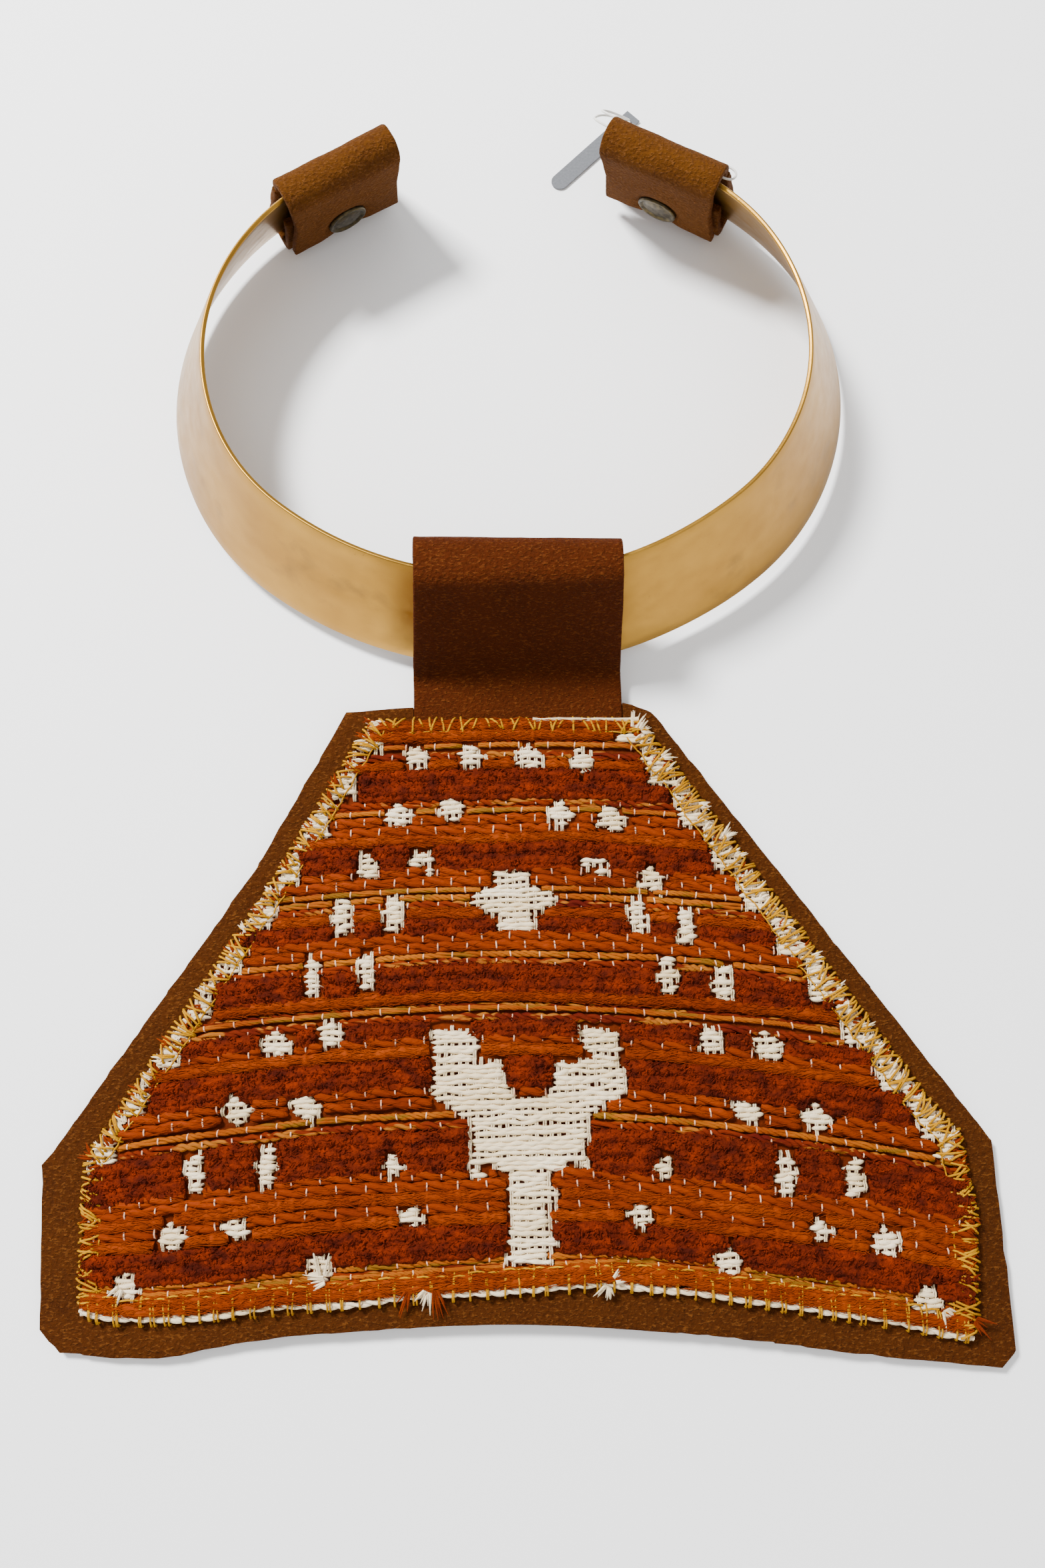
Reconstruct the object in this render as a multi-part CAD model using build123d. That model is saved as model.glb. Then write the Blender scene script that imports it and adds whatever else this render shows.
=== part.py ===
from build123d import *
import math
import os

# Statement necklace: an open brass collar with snapped suede sleeves on its ends, and a
# suede hanger that carries a woven textile pendant. Millimetres, +Z up. The origin is the
# centre of the neck opening, in the plane that the necklace lies on; the pendant points
# along -Y and the collar opens towards +Y. "Left" is -X.

# Collar: an oval band, wider at its lower edge.
neck_half_width = 62.0
neck_half_depth = 51.0
arc_joint_angle = 39.0737
band_height = 24.0
band_flare = 11.0
band_thickness = 1.0
band_lift = 3.0
band_end_angle = 20.5

# Suede sleeves on the two ends of the band.
sleeve_suede = 1.8
sleeve_angle = 29.0
sleeve_length = 27.0
sleeve_back_gap = 1.0
sleeve_top_gap = 0.9
sleeve_front_reach = 4.6
flap_lean = 16.0
flap_gap = 1.4
flap_end_height = 5.0
inner_flap_top = 15.0
roll_radius = 3.2
fold_radius = 3.0
flap_hinge_height = 24.6
flap_split = 0.3

# Snap fasteners.
snap_edge_distance = 5.8
cap_radius = 4.8
cap_rim_height = 0.9
cap_rim_width = 1.2
cap_recess = 0.3
rivet_radius = 1.5
rivet_clearance = 0.05
socket_radius = 4.0
socket_height = 1.6
socket_recess = 0.5
socket_bore_radius = 2.4
socket_bore_depth = 1.2
stud_flange_radius = 3.6
stud_flange_height = 0.4
stud_button_radius = 2.1
stud_button_height = 1.2
post_flange_radius = 3.2
post_flange_height = 0.5

# Hanger loop round the front of the band.
hanger_suede = 1.8
hanger_top_width = 41.0
hanger_neck_width = 44.0
hanger_front_gap = 0.4
hanger_top_gap = 0.9
hanger_back_gap = 0.8
hanger_back_lean = 18.0
neck_bend_radius = 4.0

# Pendant: suede backing, woven panel, overlocked edge.
pendant_suede = 1.8
pendant_half_width = 93.0
pendant_rise = 2.0
neck_fold_distance = 5.4
neck_split = 0.2
neck_return_split = 0.7
neck_notch_angle = 15.0
tail_length = 15.0
tail_start = 2.8
panel_gap = 0.15
panel_thickness = 2.2
overlock_width = 4.0
overlock_height = 0.7
edge_cord_diameter = 1.8
edge_cord_gap = 0.3
edge_cord_clear = 1.0

# Price tag on its thread.
tag_length = 27.0
tag_width = 4.0
tag_thickness = 0.3
tag_lift = 0.2
tag_hole_radius = 0.8
tag_hole_inset = 2.2
tag_tip_across = 12.3
tag_tip_back = 5.0
tag_angle = 43.5
thread_diameter = 0.5
thread_height = 25.5
thread_clearance = 0.15

# The hand-cut outline of the backing, clockwise from the left of the neck. Its lengths and
# the panel's are measured from the band's lower edge in front.
backing_left = [(-22.5, -9.0), (-36.0, -9.5), (-54.5, -42.0), (-94.0, -97.0), (-96.0, -99.5),
                (-95.0, -130.0), (-91.0, -134.0)]
backing_bottom = [(-91.0, -134.0), (-72.5, -135.5), (-50.0, -132.5), (-5.0, -131.3), (37.0, -135.0),
                  (60.0, -138.5), (87.5, -142.0)]
backing_right = [(87.5, -142.0), (90.5, -139.0), (90.0, -100.5), (28.0, -11.5), (25.0, -10.3),
                 (22.0, -11.0)]

# The woven panel, with the same hand-cut look.
panel_left = [(-30.5, -12.0), (-51.5, -46.5), (-87.0, -99.0), (-87.0, -125.5)]
panel_bottom = [(-87.0, -125.5), (-75.0, -127.2), (-39.5, -125.4), (2.0, -123.7), (22.0, -124.2),
                (61.5, -130.8), (82.5, -135.0)]
panel_right = [(82.5, -135.0), (84.8, -114.0), (83.0, -99.0), (77.0, -91.5), (25.0, -13.8)]

# Worked out from the sizes above.
joint = math.radians(arc_joint_angle)
axis_distance = (neck_half_width - neck_half_depth) / (math.cos(joint) + math.sin(joint) - 1)
front_axis_y = axis_distance * math.cos(joint)
front_arc_radius = neck_half_depth + front_axis_y
side_axis_x = axis_distance * math.sin(joint)
side_arc_radius = neck_half_width - side_axis_x
front_edge_y = -neck_half_depth - band_flare
band_top = band_lift + band_height
flare = math.atan2(band_flare, band_height)
lean = math.radians(flap_lean)


def outside_band(offset, height):
    """Distance from the arc's axis of a line parallel to the band, offset outwards from its
    inner face, at a height."""
    drop = band_top + offset * math.sin(flare) - height
    return front_arc_radius + offset * math.cos(flare) + drop * math.tan(flare)


def strip(points, radii, thickness):
    """Flat section of a sheet that runs along a path with rounded corners."""
    if radii:
        path = FilletPolyline(*points, radius=radii)
    else:
        path = Line(*points)
    return trace(path, line_width=thickness)


# ---- Collar band ----

def band_arc(radius, centre, start, end):
    """One stretch of the band about its own upright axis, between two compass angles."""
    out = band_thickness * math.cos(flare)
    up = band_thickness * math.sin(flare)
    corners = [
        (radius, 0, band_top),
        (radius + band_flare, 0, band_lift),
        (radius + band_flare + out, 0, band_lift + up),
        (radius + out, 0, band_top + up),
    ]
    section = make_face(Polyline(*corners, close=True))
    arc = revolve(section, axis=Axis.Z, revolution_arc=end - start)
    return Location((centre[0], centre[1], 0), (0, 0, start)) * arc


def collar_band():
    """Front, sides and back of the oval, tangent to each other, open at the back."""
    front = band_arc(front_arc_radius, (0, front_axis_y), 270 - arc_joint_angle, 270 + arc_joint_angle)
    right = band_arc(side_arc_radius, (side_axis_x, 0), arc_joint_angle - 90, 90 - arc_joint_angle)
    left = band_arc(side_arc_radius, (-side_axis_x, 0), 90 + arc_joint_angle, 270 - arc_joint_angle)
    back_right = band_arc(front_arc_radius, (0, -front_axis_y), 90 - arc_joint_angle, 90 - band_end_angle)
    back_left = band_arc(front_arc_radius, (0, -front_axis_y), 90 + band_end_angle, 90 + arc_joint_angle)
    return front + right + left + back_right + back_left


# ---- Sleeves: drawn in a frame with X along the band and Y out from the back arc's axis ----

def sleeve_frame(side):
    """Place of a sleeve: side is 1 on the left and -1 on the right."""
    return Location((0, -front_axis_y, 0), (0, 0, side * sleeve_angle))


roll_height = band_top + band_thickness * math.sin(flare) + sleeve_top_gap + sleeve_suede / 2
back_line = band_thickness + sleeve_back_gap + sleeve_suede / 2


def flap_line(height, behind=0.0):
    """Distance out of the front flap's middle line at a height, or of a line behind it."""
    start = front_arc_radius - sleeve_front_reach
    return start + (roll_height - height) * math.tan(lean) + behind / math.cos(lean)


def sleeve_strip(points, radii):
    """A piece of sleeve suede, from its middle line."""
    section = strip(points, radii, sleeve_suede)
    return extrude(Plane.YZ * section, amount=sleeve_length / 2, both=True)


def flap_face(height, behind):
    """A plane parallel to the front flap, whose normal points to the neck, behind its face."""
    middle = Vector(0, flap_line(height), height)
    normal = Vector(0, -math.cos(lean), -math.sin(lean))
    return Plane(origin=middle + normal * (sleeve_suede / 2 - behind), x_dir=(1, 0, 0), z_dir=normal)


snap_height = flap_end_height + snap_edge_distance * math.cos(lean)
snap_plane = flap_face(snap_height, 0)


def on_snap(solid, depth=0.0):
    """Set a solid drawn along +Z on the snap's axis, its base that deep under the flap's face."""
    return snap_plane * Location((0, 0, -depth)) * solid


def disc(radius, height):
    """A round solid that stands on its base."""
    return Cylinder(radius, height, align=(Align.CENTER, Align.CENTER, Align.MIN))


def sleeve_wrap(side):
    """From the top fold over the band, down its back, under it, and up as the inner flap."""
    bottom = sleeve_suede / 2
    behind = sleeve_suede + flap_gap
    points = [
        (flap_line(flap_hinge_height + flap_split / 2), flap_hinge_height + flap_split / 2),
        (flap_line(roll_height), roll_height),
        (outside_band(back_line, roll_height), roll_height),
        (outside_band(back_line, bottom), bottom),
        (flap_line(bottom, behind), bottom),
        (flap_line(inner_flap_top, behind), inner_flap_top),
    ]
    suede = sleeve_strip(points, [roll_radius, roll_radius, fold_radius, fold_radius])
    inner_face = sleeve_suede + flap_gap
    suede -= on_snap(disc(stud_flange_radius + rivet_clearance, flap_gap), inner_face + stud_flange_height)
    suede -= on_snap(disc(rivet_radius, 2 * sleeve_suede), inner_face + 1.5 * sleeve_suede)
    return sleeve_frame(side) * suede


def sleeve_flap(side):
    """The front flap, from the hinge line at the top fold down to its free edge."""
    top = flap_hinge_height - flap_split / 2
    suede = sleeve_strip([(flap_line(top), top), (flap_line(flap_end_height), flap_end_height)], None)
    suede -= on_snap(disc(cap_radius + rivet_clearance, cap_rim_height), cap_recess)
    suede -= on_snap(disc(rivet_radius + rivet_clearance, 2 * sleeve_suede), 1.5 * sleeve_suede)
    suede -= on_snap(disc(socket_radius + rivet_clearance, sleeve_suede), 2 * sleeve_suede - socket_recess)
    return sleeve_frame(side) * suede


def snap_cap(side):
    """Cap with a raised rim and a shallow dome, on a rivet through the front flap."""
    rise = cap_rim_height - cap_recess
    inner = cap_radius - cap_rim_width
    bevel = 0.25 * cap_rim_width
    rivet_end = sleeve_suede - socket_recess
    profile = Polyline(
        (0, 0, -rivet_end),
        (rivet_radius, 0, -rivet_end),
        (rivet_radius, 0, -cap_recess),
        (cap_radius, 0, -cap_recess),
        (cap_radius, 0, rise - bevel),
        (cap_radius - bevel, 0, rise),
        (inner + bevel, 0, rise),
        (inner, 0, rise - bevel),
        (inner / 2, 0, rise - 0.1),
        (0, 0, rise),
        close=True,
    )
    return sleeve_frame(side) * on_snap(revolve(make_face(profile), axis=Axis.Z))


def snap_socket(side):
    """Ring behind the front flap that the stud pushes into."""
    back = sleeve_suede - socket_recess + socket_height
    body = on_snap(disc(socket_radius, socket_height), back)
    body -= on_snap(disc(socket_bore_radius, socket_bore_depth), back)
    return sleeve_frame(side) * body


def snap_stud(side):
    """Flange in the face of the inner flap, with the button that the socket grips."""
    face = sleeve_suede + flap_gap
    body = on_snap(disc(stud_flange_radius, stud_flange_height), face + stud_flange_height)
    body += on_snap(disc(stud_button_radius, stud_button_height), face)
    return sleeve_frame(side) * body


def snap_post(side):
    """Rivet from behind the inner flap that holds the stud."""
    back = 2 * sleeve_suede + flap_gap
    body = on_snap(disc(post_flange_radius, post_flange_height), back + post_flange_height)
    shaft = disc(rivet_radius - rivet_clearance, sleeve_suede - stud_flange_height)
    body += on_snap(shaft, back)
    return sleeve_frame(side) * body


# ---- Hanger: drawn in a plane with X out from the front arc's axis and Y up ----

hanger_plane = Plane(origin=(0, front_axis_y, 0), x_dir=(0, -1, 0), z_dir=(-1, 0, 0))
hanger_line = band_thickness + hanger_front_gap + hanger_suede / 2
hanger_top = band_top + band_thickness * math.sin(flare) + hanger_top_gap + hanger_suede / 2
neck_line = pendant_rise + pendant_suede / 2
fold_reach = outside_band(hanger_line, neck_line) + neck_fold_distance - 1.0


def hanger_back(height):
    """Distance out of the hanger's back layer, clear of the curved band across its width."""
    half = hanger_neck_width / 2
    curve = front_arc_radius - math.sqrt(front_arc_radius**2 - half**2)
    start = front_arc_radius - curve - hanger_back_gap - hanger_suede / 2
    return start + (band_top - height) * math.tan(math.radians(hanger_back_lean))


def neck_notch():
    """Wedge that parts the hanger from the pendant at the neck fold."""
    top = pendant_suede + 0.3
    half = neck_split + top * math.tan(math.radians(neck_notch_angle))
    low = neck_line - pendant_suede / 2 - 0.2
    corners = [
        (fold_reach - neck_split, low),
        (fold_reach - half, low + top),
        (fold_reach + half, low + top),
        (fold_reach + neck_split, low),
    ]
    wedge = make_face(Polyline(*corners, close=True))
    return extrude(hanger_plane * wedge, amount=hanger_neck_width, both=True)


def hanger_loop():
    """Strip up the front of the band, over it, down its inside and back under it."""
    bottom = hanger_suede / 2
    points = [
        (fold_reach, neck_line),
        (outside_band(hanger_line, neck_line), neck_line),
        (outside_band(hanger_line, hanger_top), hanger_top),
        (hanger_back(hanger_top), hanger_top),
        (hanger_back(bottom), bottom),
        (fold_reach - neck_return_split, bottom),
    ]
    radii = [neck_bend_radius, roll_radius, roll_radius, fold_radius]
    section = strip(points, radii, hanger_suede)
    suede = extrude(hanger_plane * section, amount=hanger_neck_width, both=True)
    taper = [
        (-hanger_neck_width / 2, 0, 0),
        (hanger_neck_width / 2, 0, 0),
        (hanger_top_width / 2, 0, hanger_top + hanger_suede),
        (-hanger_top_width / 2, 0, hanger_top + hanger_suede),
    ]
    width = extrude(make_face(Polyline(*taper, close=True)), amount=200, both=True)
    return (suede & width) - neck_notch()


# ---- Pendant ----

def arch_height(x):
    """Height of the backing's underside, which is arched across its width."""
    radius = (pendant_half_width**2 + pendant_rise**2) / (2 * pendant_rise)
    return pendant_rise - radius + math.sqrt(radius**2 - x**2)


def arched(outline, low, high):
    """The part of an upright prism between two heights above the arched underside."""
    edge = pendant_half_width + 5
    side = arch_height(edge)
    bottom = ThreePointArc((-edge, 0, side + low), (0, 0, pendant_rise + low), (edge, 0, side + low))
    top = ThreePointArc((edge, 0, side + high), (0, 0, pendant_rise + high), (-edge, 0, side + high))
    ends = [Line(bottom @ 1, top @ 0), Line(top @ 1, bottom @ 0)]
    section = make_face(bottom.edges() + top.edges() + ends[0].edges() + ends[1].edges())
    slab = extrude(section, amount=300, both=True)
    return slab & extrude(outline, amount=40, both=True)


def cut_outline(left, bottom, right):
    """A flat outline whose sides are straight cuts and whose lower edge is a free curve."""
    edges = Polyline(*left).edges() + Spline(*bottom).edges() + Polyline(*right, left[0]).edges()
    return Location((0, front_edge_y, 0)) * make_face(edges)


def backing_outline():
    """The backing with its neck, which reaches up to the neck fold."""
    fold_y = front_axis_y - fold_reach - front_edge_y
    neck = [(hanger_neck_width / 2, fold_y), (-hanger_neck_width / 2, fold_y)]
    return cut_outline(backing_left, backing_bottom, backing_right + neck)


def panel_outline(inset=0.0):
    """The woven panel's cut edge, or a line that far inside it."""
    sides = [panel_left, panel_bottom, panel_right]
    across = [x for side in sides for x, y in side]
    along = [y for side in sides for x, y in side]
    middle = ((min(across) + max(across)) / 2, (min(along) + max(along)) / 2)
    shrink_x = 1 - 2 * inset / (max(across) - min(across))
    shrink_y = 1 - 2 * inset / (max(along) - min(along))
    shrunk = []
    for side in sides:
        moved = [((x - middle[0]) * shrink_x, (y - middle[1]) * shrink_y) for x, y in side]
        shrunk.append([(x + middle[0], y + middle[1]) for x, y in moved])
    return cut_outline(*shrunk)


def pendant_backing():
    """Suede sheet under the panel."""
    return arched(backing_outline(), 0, pendant_suede) - neck_notch()


def hanger_tail():
    """The end of the hanger's strip, glued under the top of the backing."""
    start = fold_reach + tail_start
    middle = (start + tail_length / 2, hanger_suede / 2)
    section = Location((middle[0], middle[1], 0)) * Rectangle(tail_length, hanger_suede)
    return extrude(hanger_plane * section, amount=hanger_top_width / 2, both=True)


def textile_panel():
    """Woven panel sewn on the backing."""
    low = pendant_suede + panel_gap
    return arched(panel_outline(), low, low + panel_thickness)


def overlock_edging():
    """Band of overlock stitches that runs round the panel's edge."""
    low = pendant_suede + panel_gap + panel_thickness + panel_gap
    inside = panel_outline(overlock_width)
    return arched(panel_outline(), low, low + overlock_height) - extrude(inside, amount=40, both=True)


def smooth_path(points, thickness):
    """Straight runs joined by tangent arcs that are as large as the runs allow."""
    spots = [Vector(*p) for p in points]
    radii = []
    for before, here, after in zip(spots, spots[1:], spots[2:]):
        turn = math.radians((here - before).get_angle(after - here))
        run = min((here - before).length, (after - here).length)
        radii.append(0.45 * run / math.tan(turn / 2))
    print("arc radii", [round(r, 1) for r in radii], "for a thickness of", thickness)
    return FilletPolyline(*points, radius=radii)


def tube(points, thickness):
    """Round cord along a route."""
    path = smooth_path(points, thickness)
    section = Plane(origin=path @ 0, z_dir=path % 0) * Circle(thickness / 2)
    return sweep(section, path=path)


def edge_cord():
    """Cord couched along the panel's lower edge."""
    lift = pendant_suede + edge_cord_gap + edge_cord_diameter / 2
    reach = edge_cord_clear + edge_cord_diameter / 2
    points = []
    for x, y in panel_bottom:
        points.append((x, front_edge_y + y - reach, arch_height(x) + lift))
    return tube(points, edge_cord_diameter)


# ---- Price tag ----

def price_tag():
    """Blank paper strip with a rounded tip and a hole for its thread."""
    straight = tag_length - tag_width / 2
    shape = Location((tag_width / 2 + straight / 2, 0)) * Rectangle(straight, tag_width)
    shape += Location((tag_width / 2, 0)) * Circle(tag_width / 2)
    shape -= Location((tag_length - tag_hole_inset, 0)) * Circle(tag_hole_radius)
    place = Location((tag_tip_across, neck_half_depth + tag_tip_back, tag_lift), (0, 0, tag_angle))
    return place * extrude(shape, amount=tag_thickness)


def tag_thread():
    """Thread from the tag, through the right sleeve, round its end and back to the tag."""
    inside = outside_band(back_line - sleeve_suede / 2 - sleeve_back_gap / 2, thread_height)
    reach = sleeve_suede / 2 + thread_clearance + thread_diameter / 2
    outside = outside_band(back_line + reach, thread_height)
    end = sleeve_length / 2 + 1.6
    start = -sleeve_length / 2
    low = tag_lift + tag_thickness + thread_diameter
    along = math.radians(tag_angle)
    hole = tag_length - tag_hole_inset
    hole_x = tag_tip_across + hole * math.cos(along)
    hole_y = neck_half_depth + tag_tip_back + hole * math.sin(along)
    spot = (sleeve_frame(-1).inverse() * Location((hole_x, hole_y, low))).position
    points = [
        (spot.X - 0.4, spot.Y, low),
        (start - 6.4, front_arc_radius + 17.0, 10.5),
        (start - 6.2, front_arc_radius + 8.5, 20.0),
        (start - 5.0, inside, thread_height),
        (end - 5.0, inside, thread_height + 0.1),
        (end, inside, thread_height),
        (end, outside, thread_height),
        (end - 5.0, outside, thread_height + 0.1),
        (start - 4.7, outside, thread_height),
        (start - 5.5, front_arc_radius + 11.5, 18.5),
        (start - 5.5, front_arc_radius + 19.5, 8.5),
        (spot.X + 0.4, spot.Y + 0.2, low),
    ]
    return sleeve_frame(-1) * tube(points, thread_diameter)


# ---- Write every sub-part ----

parts = {"collar_band": collar_band()}
for name, side in (("left", 1), ("right", -1)):
    parts[f"{name}_sleeve_wrap"] = sleeve_wrap(side)
    parts[f"{name}_sleeve_flap"] = sleeve_flap(side)
    parts[f"{name}_snap_cap"] = snap_cap(side)
    parts[f"{name}_snap_socket"] = snap_socket(side)
    parts[f"{name}_snap_stud"] = snap_stud(side)
    parts[f"{name}_snap_post"] = snap_post(side)
parts["hanger_loop"] = hanger_loop()
parts["hanger_tail"] = hanger_tail()
parts["pendant_backing"] = pendant_backing()
parts["textile_panel"] = textile_panel()
parts["overlock_edging"] = overlock_edging()
parts["edge_cord"] = edge_cord()
parts["price_tag"] = price_tag()
parts["tag_thread"] = tag_thread()

hinge = sleeve_frame(1) * flap_face(flap_hinge_height, -0.05).location
print("left flap hinge", hinge.position)
print("neck fold y", front_axis_y - fold_reach, "z", neck_line - pendant_suede / 2)

os.makedirs("parts", exist_ok=True)
for node, solid in parts.items():
    export_step(solid, f"parts/{node}.step")
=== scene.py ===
"""Statement necklace: open brass collar, snapped suede sleeves, suede hanger and woven pendant."""

import logging
import math
import random
from dataclasses import dataclass, field
from enum import Enum
from typing import Iterator, Sequence

import bmesh
import bpy
from mathutils import Matrix, Vector, noise


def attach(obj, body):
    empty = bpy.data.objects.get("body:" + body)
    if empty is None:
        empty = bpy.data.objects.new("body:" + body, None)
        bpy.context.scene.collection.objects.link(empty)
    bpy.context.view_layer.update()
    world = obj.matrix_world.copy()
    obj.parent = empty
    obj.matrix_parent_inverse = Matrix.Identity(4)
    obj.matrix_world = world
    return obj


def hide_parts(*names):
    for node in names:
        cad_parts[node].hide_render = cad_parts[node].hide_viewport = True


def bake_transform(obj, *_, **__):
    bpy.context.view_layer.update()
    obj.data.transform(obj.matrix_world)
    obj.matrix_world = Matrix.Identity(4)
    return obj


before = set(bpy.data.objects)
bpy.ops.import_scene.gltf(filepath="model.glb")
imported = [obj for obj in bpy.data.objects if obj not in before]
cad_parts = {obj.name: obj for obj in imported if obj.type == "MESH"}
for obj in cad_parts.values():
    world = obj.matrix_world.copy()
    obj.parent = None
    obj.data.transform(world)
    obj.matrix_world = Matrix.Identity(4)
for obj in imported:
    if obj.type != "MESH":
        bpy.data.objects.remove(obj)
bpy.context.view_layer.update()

LOG = logging.getLogger("necklace")
MM = 0.001
NOISE_SEED = 11
Point = tuple[float, float, float]
Flat = tuple[float, float]


class Slot(Enum):
    """Material slots of the record."""

    BRASS = "brass_band"
    SLEEVE = "tan_suede"
    HANGER = "hanger_suede"
    BACKING = "backing_suede"
    SNAP = "snap_brass"
    WOVEN = "woven_panel"
    OVERLOCK = "overlock_yarn"
    CORD = "cream_cord"
    PAPER = "tag_paper"
    THREAD = "white_thread"


class Side(Enum):
    """Which end of the collar a sleeve is on."""

    LEFT = 1
    RIGHT = -1

    @property
    def word(self) -> str:
        """The side's name as the nodes use it."""
        return self.name.lower()


# ---------------------------------------------------------------- finishes


def colour(code: str) -> tuple[float, float, float, float]:
    """Linear colour of a display colour written as six hex digits.

    Args:
        code: red, green and blue as hex digits.

    Returns:
        Linear red, green, blue and alpha.
    """
    parts = [int(code[i : i + 2], 16) / 255 for i in (0, 2, 4)]
    linear = [p / 12.92 if p <= 0.04045 else ((p + 0.055) / 1.055) ** 2.4 for p in parts]
    return (*linear, 1.0)


class NodeBench:
    """Builds the node tree of one material on Object coordinates."""

    def __init__(self, name: str) -> None:
        """Makes the material with its shader.

        Args:
            name: the material's name.
        """
        self.material = bpy.data.materials.new(name)
        self.material.use_nodes = True
        self.tree = self.material.node_tree
        self.shader = self.tree.nodes["Principled BSDF"]
        self.place = self.tree.nodes.new("ShaderNodeTexCoord")

    def set(self, **values: object) -> None:
        """Sets sockets of the shader by name, with _ for a space."""
        for key, value in values.items():
            self.shader.inputs[key.replace("_", " ").title().replace("Ior", "IOR")].default_value = value

    def mapped(self, scale: Point, turn: float = 0.0) -> bpy.types.NodeSocket:
        """Object coordinates in millimetres, scaled for a pattern.

        Args:
            scale: cycles per millimetre along each axis.
            turn: angle about Z in degrees.

        Returns:
            The vector socket.
        """
        node = self.tree.nodes.new("ShaderNodeMapping")
        node.inputs["Scale"].default_value = [s / MM for s in scale]
        node.inputs["Rotation"].default_value = (0, 0, math.radians(turn))
        self.tree.links.new(self.place.outputs["Object"], node.inputs["Vector"])
        return node.outputs["Vector"]

    def noise(self, scale: Point, detail: float = 3.0, turn: float = 0.0) -> bpy.types.NodeSocket:
        """Noise between 0 and 1 on the mapped coordinates.

        Args:
            scale: cycles per millimetre along each axis.
            detail: octaves.
            turn: angle about Z in degrees.

        Returns:
            The value socket.
        """
        node = self.tree.nodes.new("ShaderNodeTexNoise")
        node.inputs["Scale"].default_value = 1.0
        node.inputs["Detail"].default_value = detail
        self.tree.links.new(self.mapped(scale, turn), node.inputs["Vector"])
        return node.outputs["Fac"]

    def ramp(self, value: bpy.types.NodeSocket, low: float, high: float) -> bpy.types.NodeSocket:
        """Stretches a value so that low becomes 0 and high becomes 1.

        Args:
            value: the value socket.
            low: value that becomes 0.
            high: value that becomes 1.

        Returns:
            The stretched value socket.
        """
        node = self.tree.nodes.new("ShaderNodeMapRange")
        node.inputs["From Min"].default_value = low
        node.inputs["From Max"].default_value = high
        self.tree.links.new(value, node.inputs["Value"])
        return node.outputs["Result"]

    def mix(self, share: bpy.types.NodeSocket, a: object, b: object) -> bpy.types.NodeSocket:
        """Mixes two colours.

        Args:
            share: share of the second colour.
            a: first colour or socket.
            b: second colour or socket.

        Returns:
            The colour socket.
        """
        node = self.tree.nodes.new("ShaderNodeMix")
        node.data_type = "RGBA"
        self.tree.links.new(share, node.inputs["Factor"])
        for socket, value in ((node.inputs[6], a), (node.inputs[7], b)):
            if isinstance(value, bpy.types.NodeSocket):
                self.tree.links.new(value, socket)
            else:
                socket.default_value = value
        return node.outputs[2]

    def blend_values(self, share: bpy.types.NodeSocket, a: float, b: float) -> bpy.types.NodeSocket:
        """Runs a value from a to b as the share goes from 0 to 1.

        Args:
            share: the share socket.
            a: value at 0.
            b: value at 1.

        Returns:
            The value socket.
        """
        node = self.tree.nodes.new("ShaderNodeMapRange")
        node.inputs["To Min"].default_value = a
        node.inputs["To Max"].default_value = b
        self.tree.links.new(share, node.inputs["Value"])
        return node.outputs["Result"]

    def bump(self, height: bpy.types.NodeSocket, depth: float, strength: float = 1.0) -> None:
        """Adds a bump to the shader, over one that is there already.

        Args:
            height: height socket, 0 to 1.
            depth: height of 1 in millimetres.
            strength: share of the effect.
        """
        node = self.tree.nodes.new("ShaderNodeBump")
        node.inputs["Distance"].default_value = depth * MM
        node.inputs["Strength"].default_value = strength
        self.tree.links.new(height, node.inputs["Height"])
        before = self.shader.inputs["Normal"].links
        if before:
            self.tree.links.new(before[0].from_socket, node.inputs["Normal"])
        self.tree.links.new(node.outputs["Normal"], self.shader.inputs["Normal"])

    def drive(self, name: str, value: bpy.types.NodeSocket) -> None:
        """Links a socket to the shader's input of that name."""
        self.tree.links.new(value, self.shader.inputs[name])


@dataclass(frozen=True)
class SuedeFinish:
    """Napped suede with brushed patches and pale flecks."""

    name: str
    deep: str
    light: str
    fleck: str
    fleck_share: float = 0.42

    def build(self) -> bpy.types.Material:
        """Makes the material."""
        bench = NodeBench(self.name)
        patches = bench.ramp(bench.noise((0.12, 0.12, 0.12), 4.0), 0.25, 0.75)
        nap = bench.ramp(bench.noise((1.3, 1.3, 1.3), 4.0), 0.3, 0.7)
        base = bench.mix(bench.blend_values(patches, 0.0, 0.6), colour(self.deep), colour(self.light))
        shade = bench.mix(bench.blend_values(nap, 0.0, 0.7), base, colour(self.light))
        spots = bench.ramp(bench.noise((1.2, 2.4, 2.4), 2.0), 0.52, 0.68)
        share = bench.blend_values(spots, 0, self.fleck_share)
        bench.drive("Base Color", bench.mix(share, shade, colour(self.fleck)))
        bench.set(roughness=0.95, sheen_weight=0.12, sheen_roughness=0.45, sheen_tint=colour(self.fleck))
        bench.set(specular_ior_level=0.08)
        bench.bump(nap, 0.3, 0.9)
        bench.bump(spots, 0.2, 0.7)
        return bench.material


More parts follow.
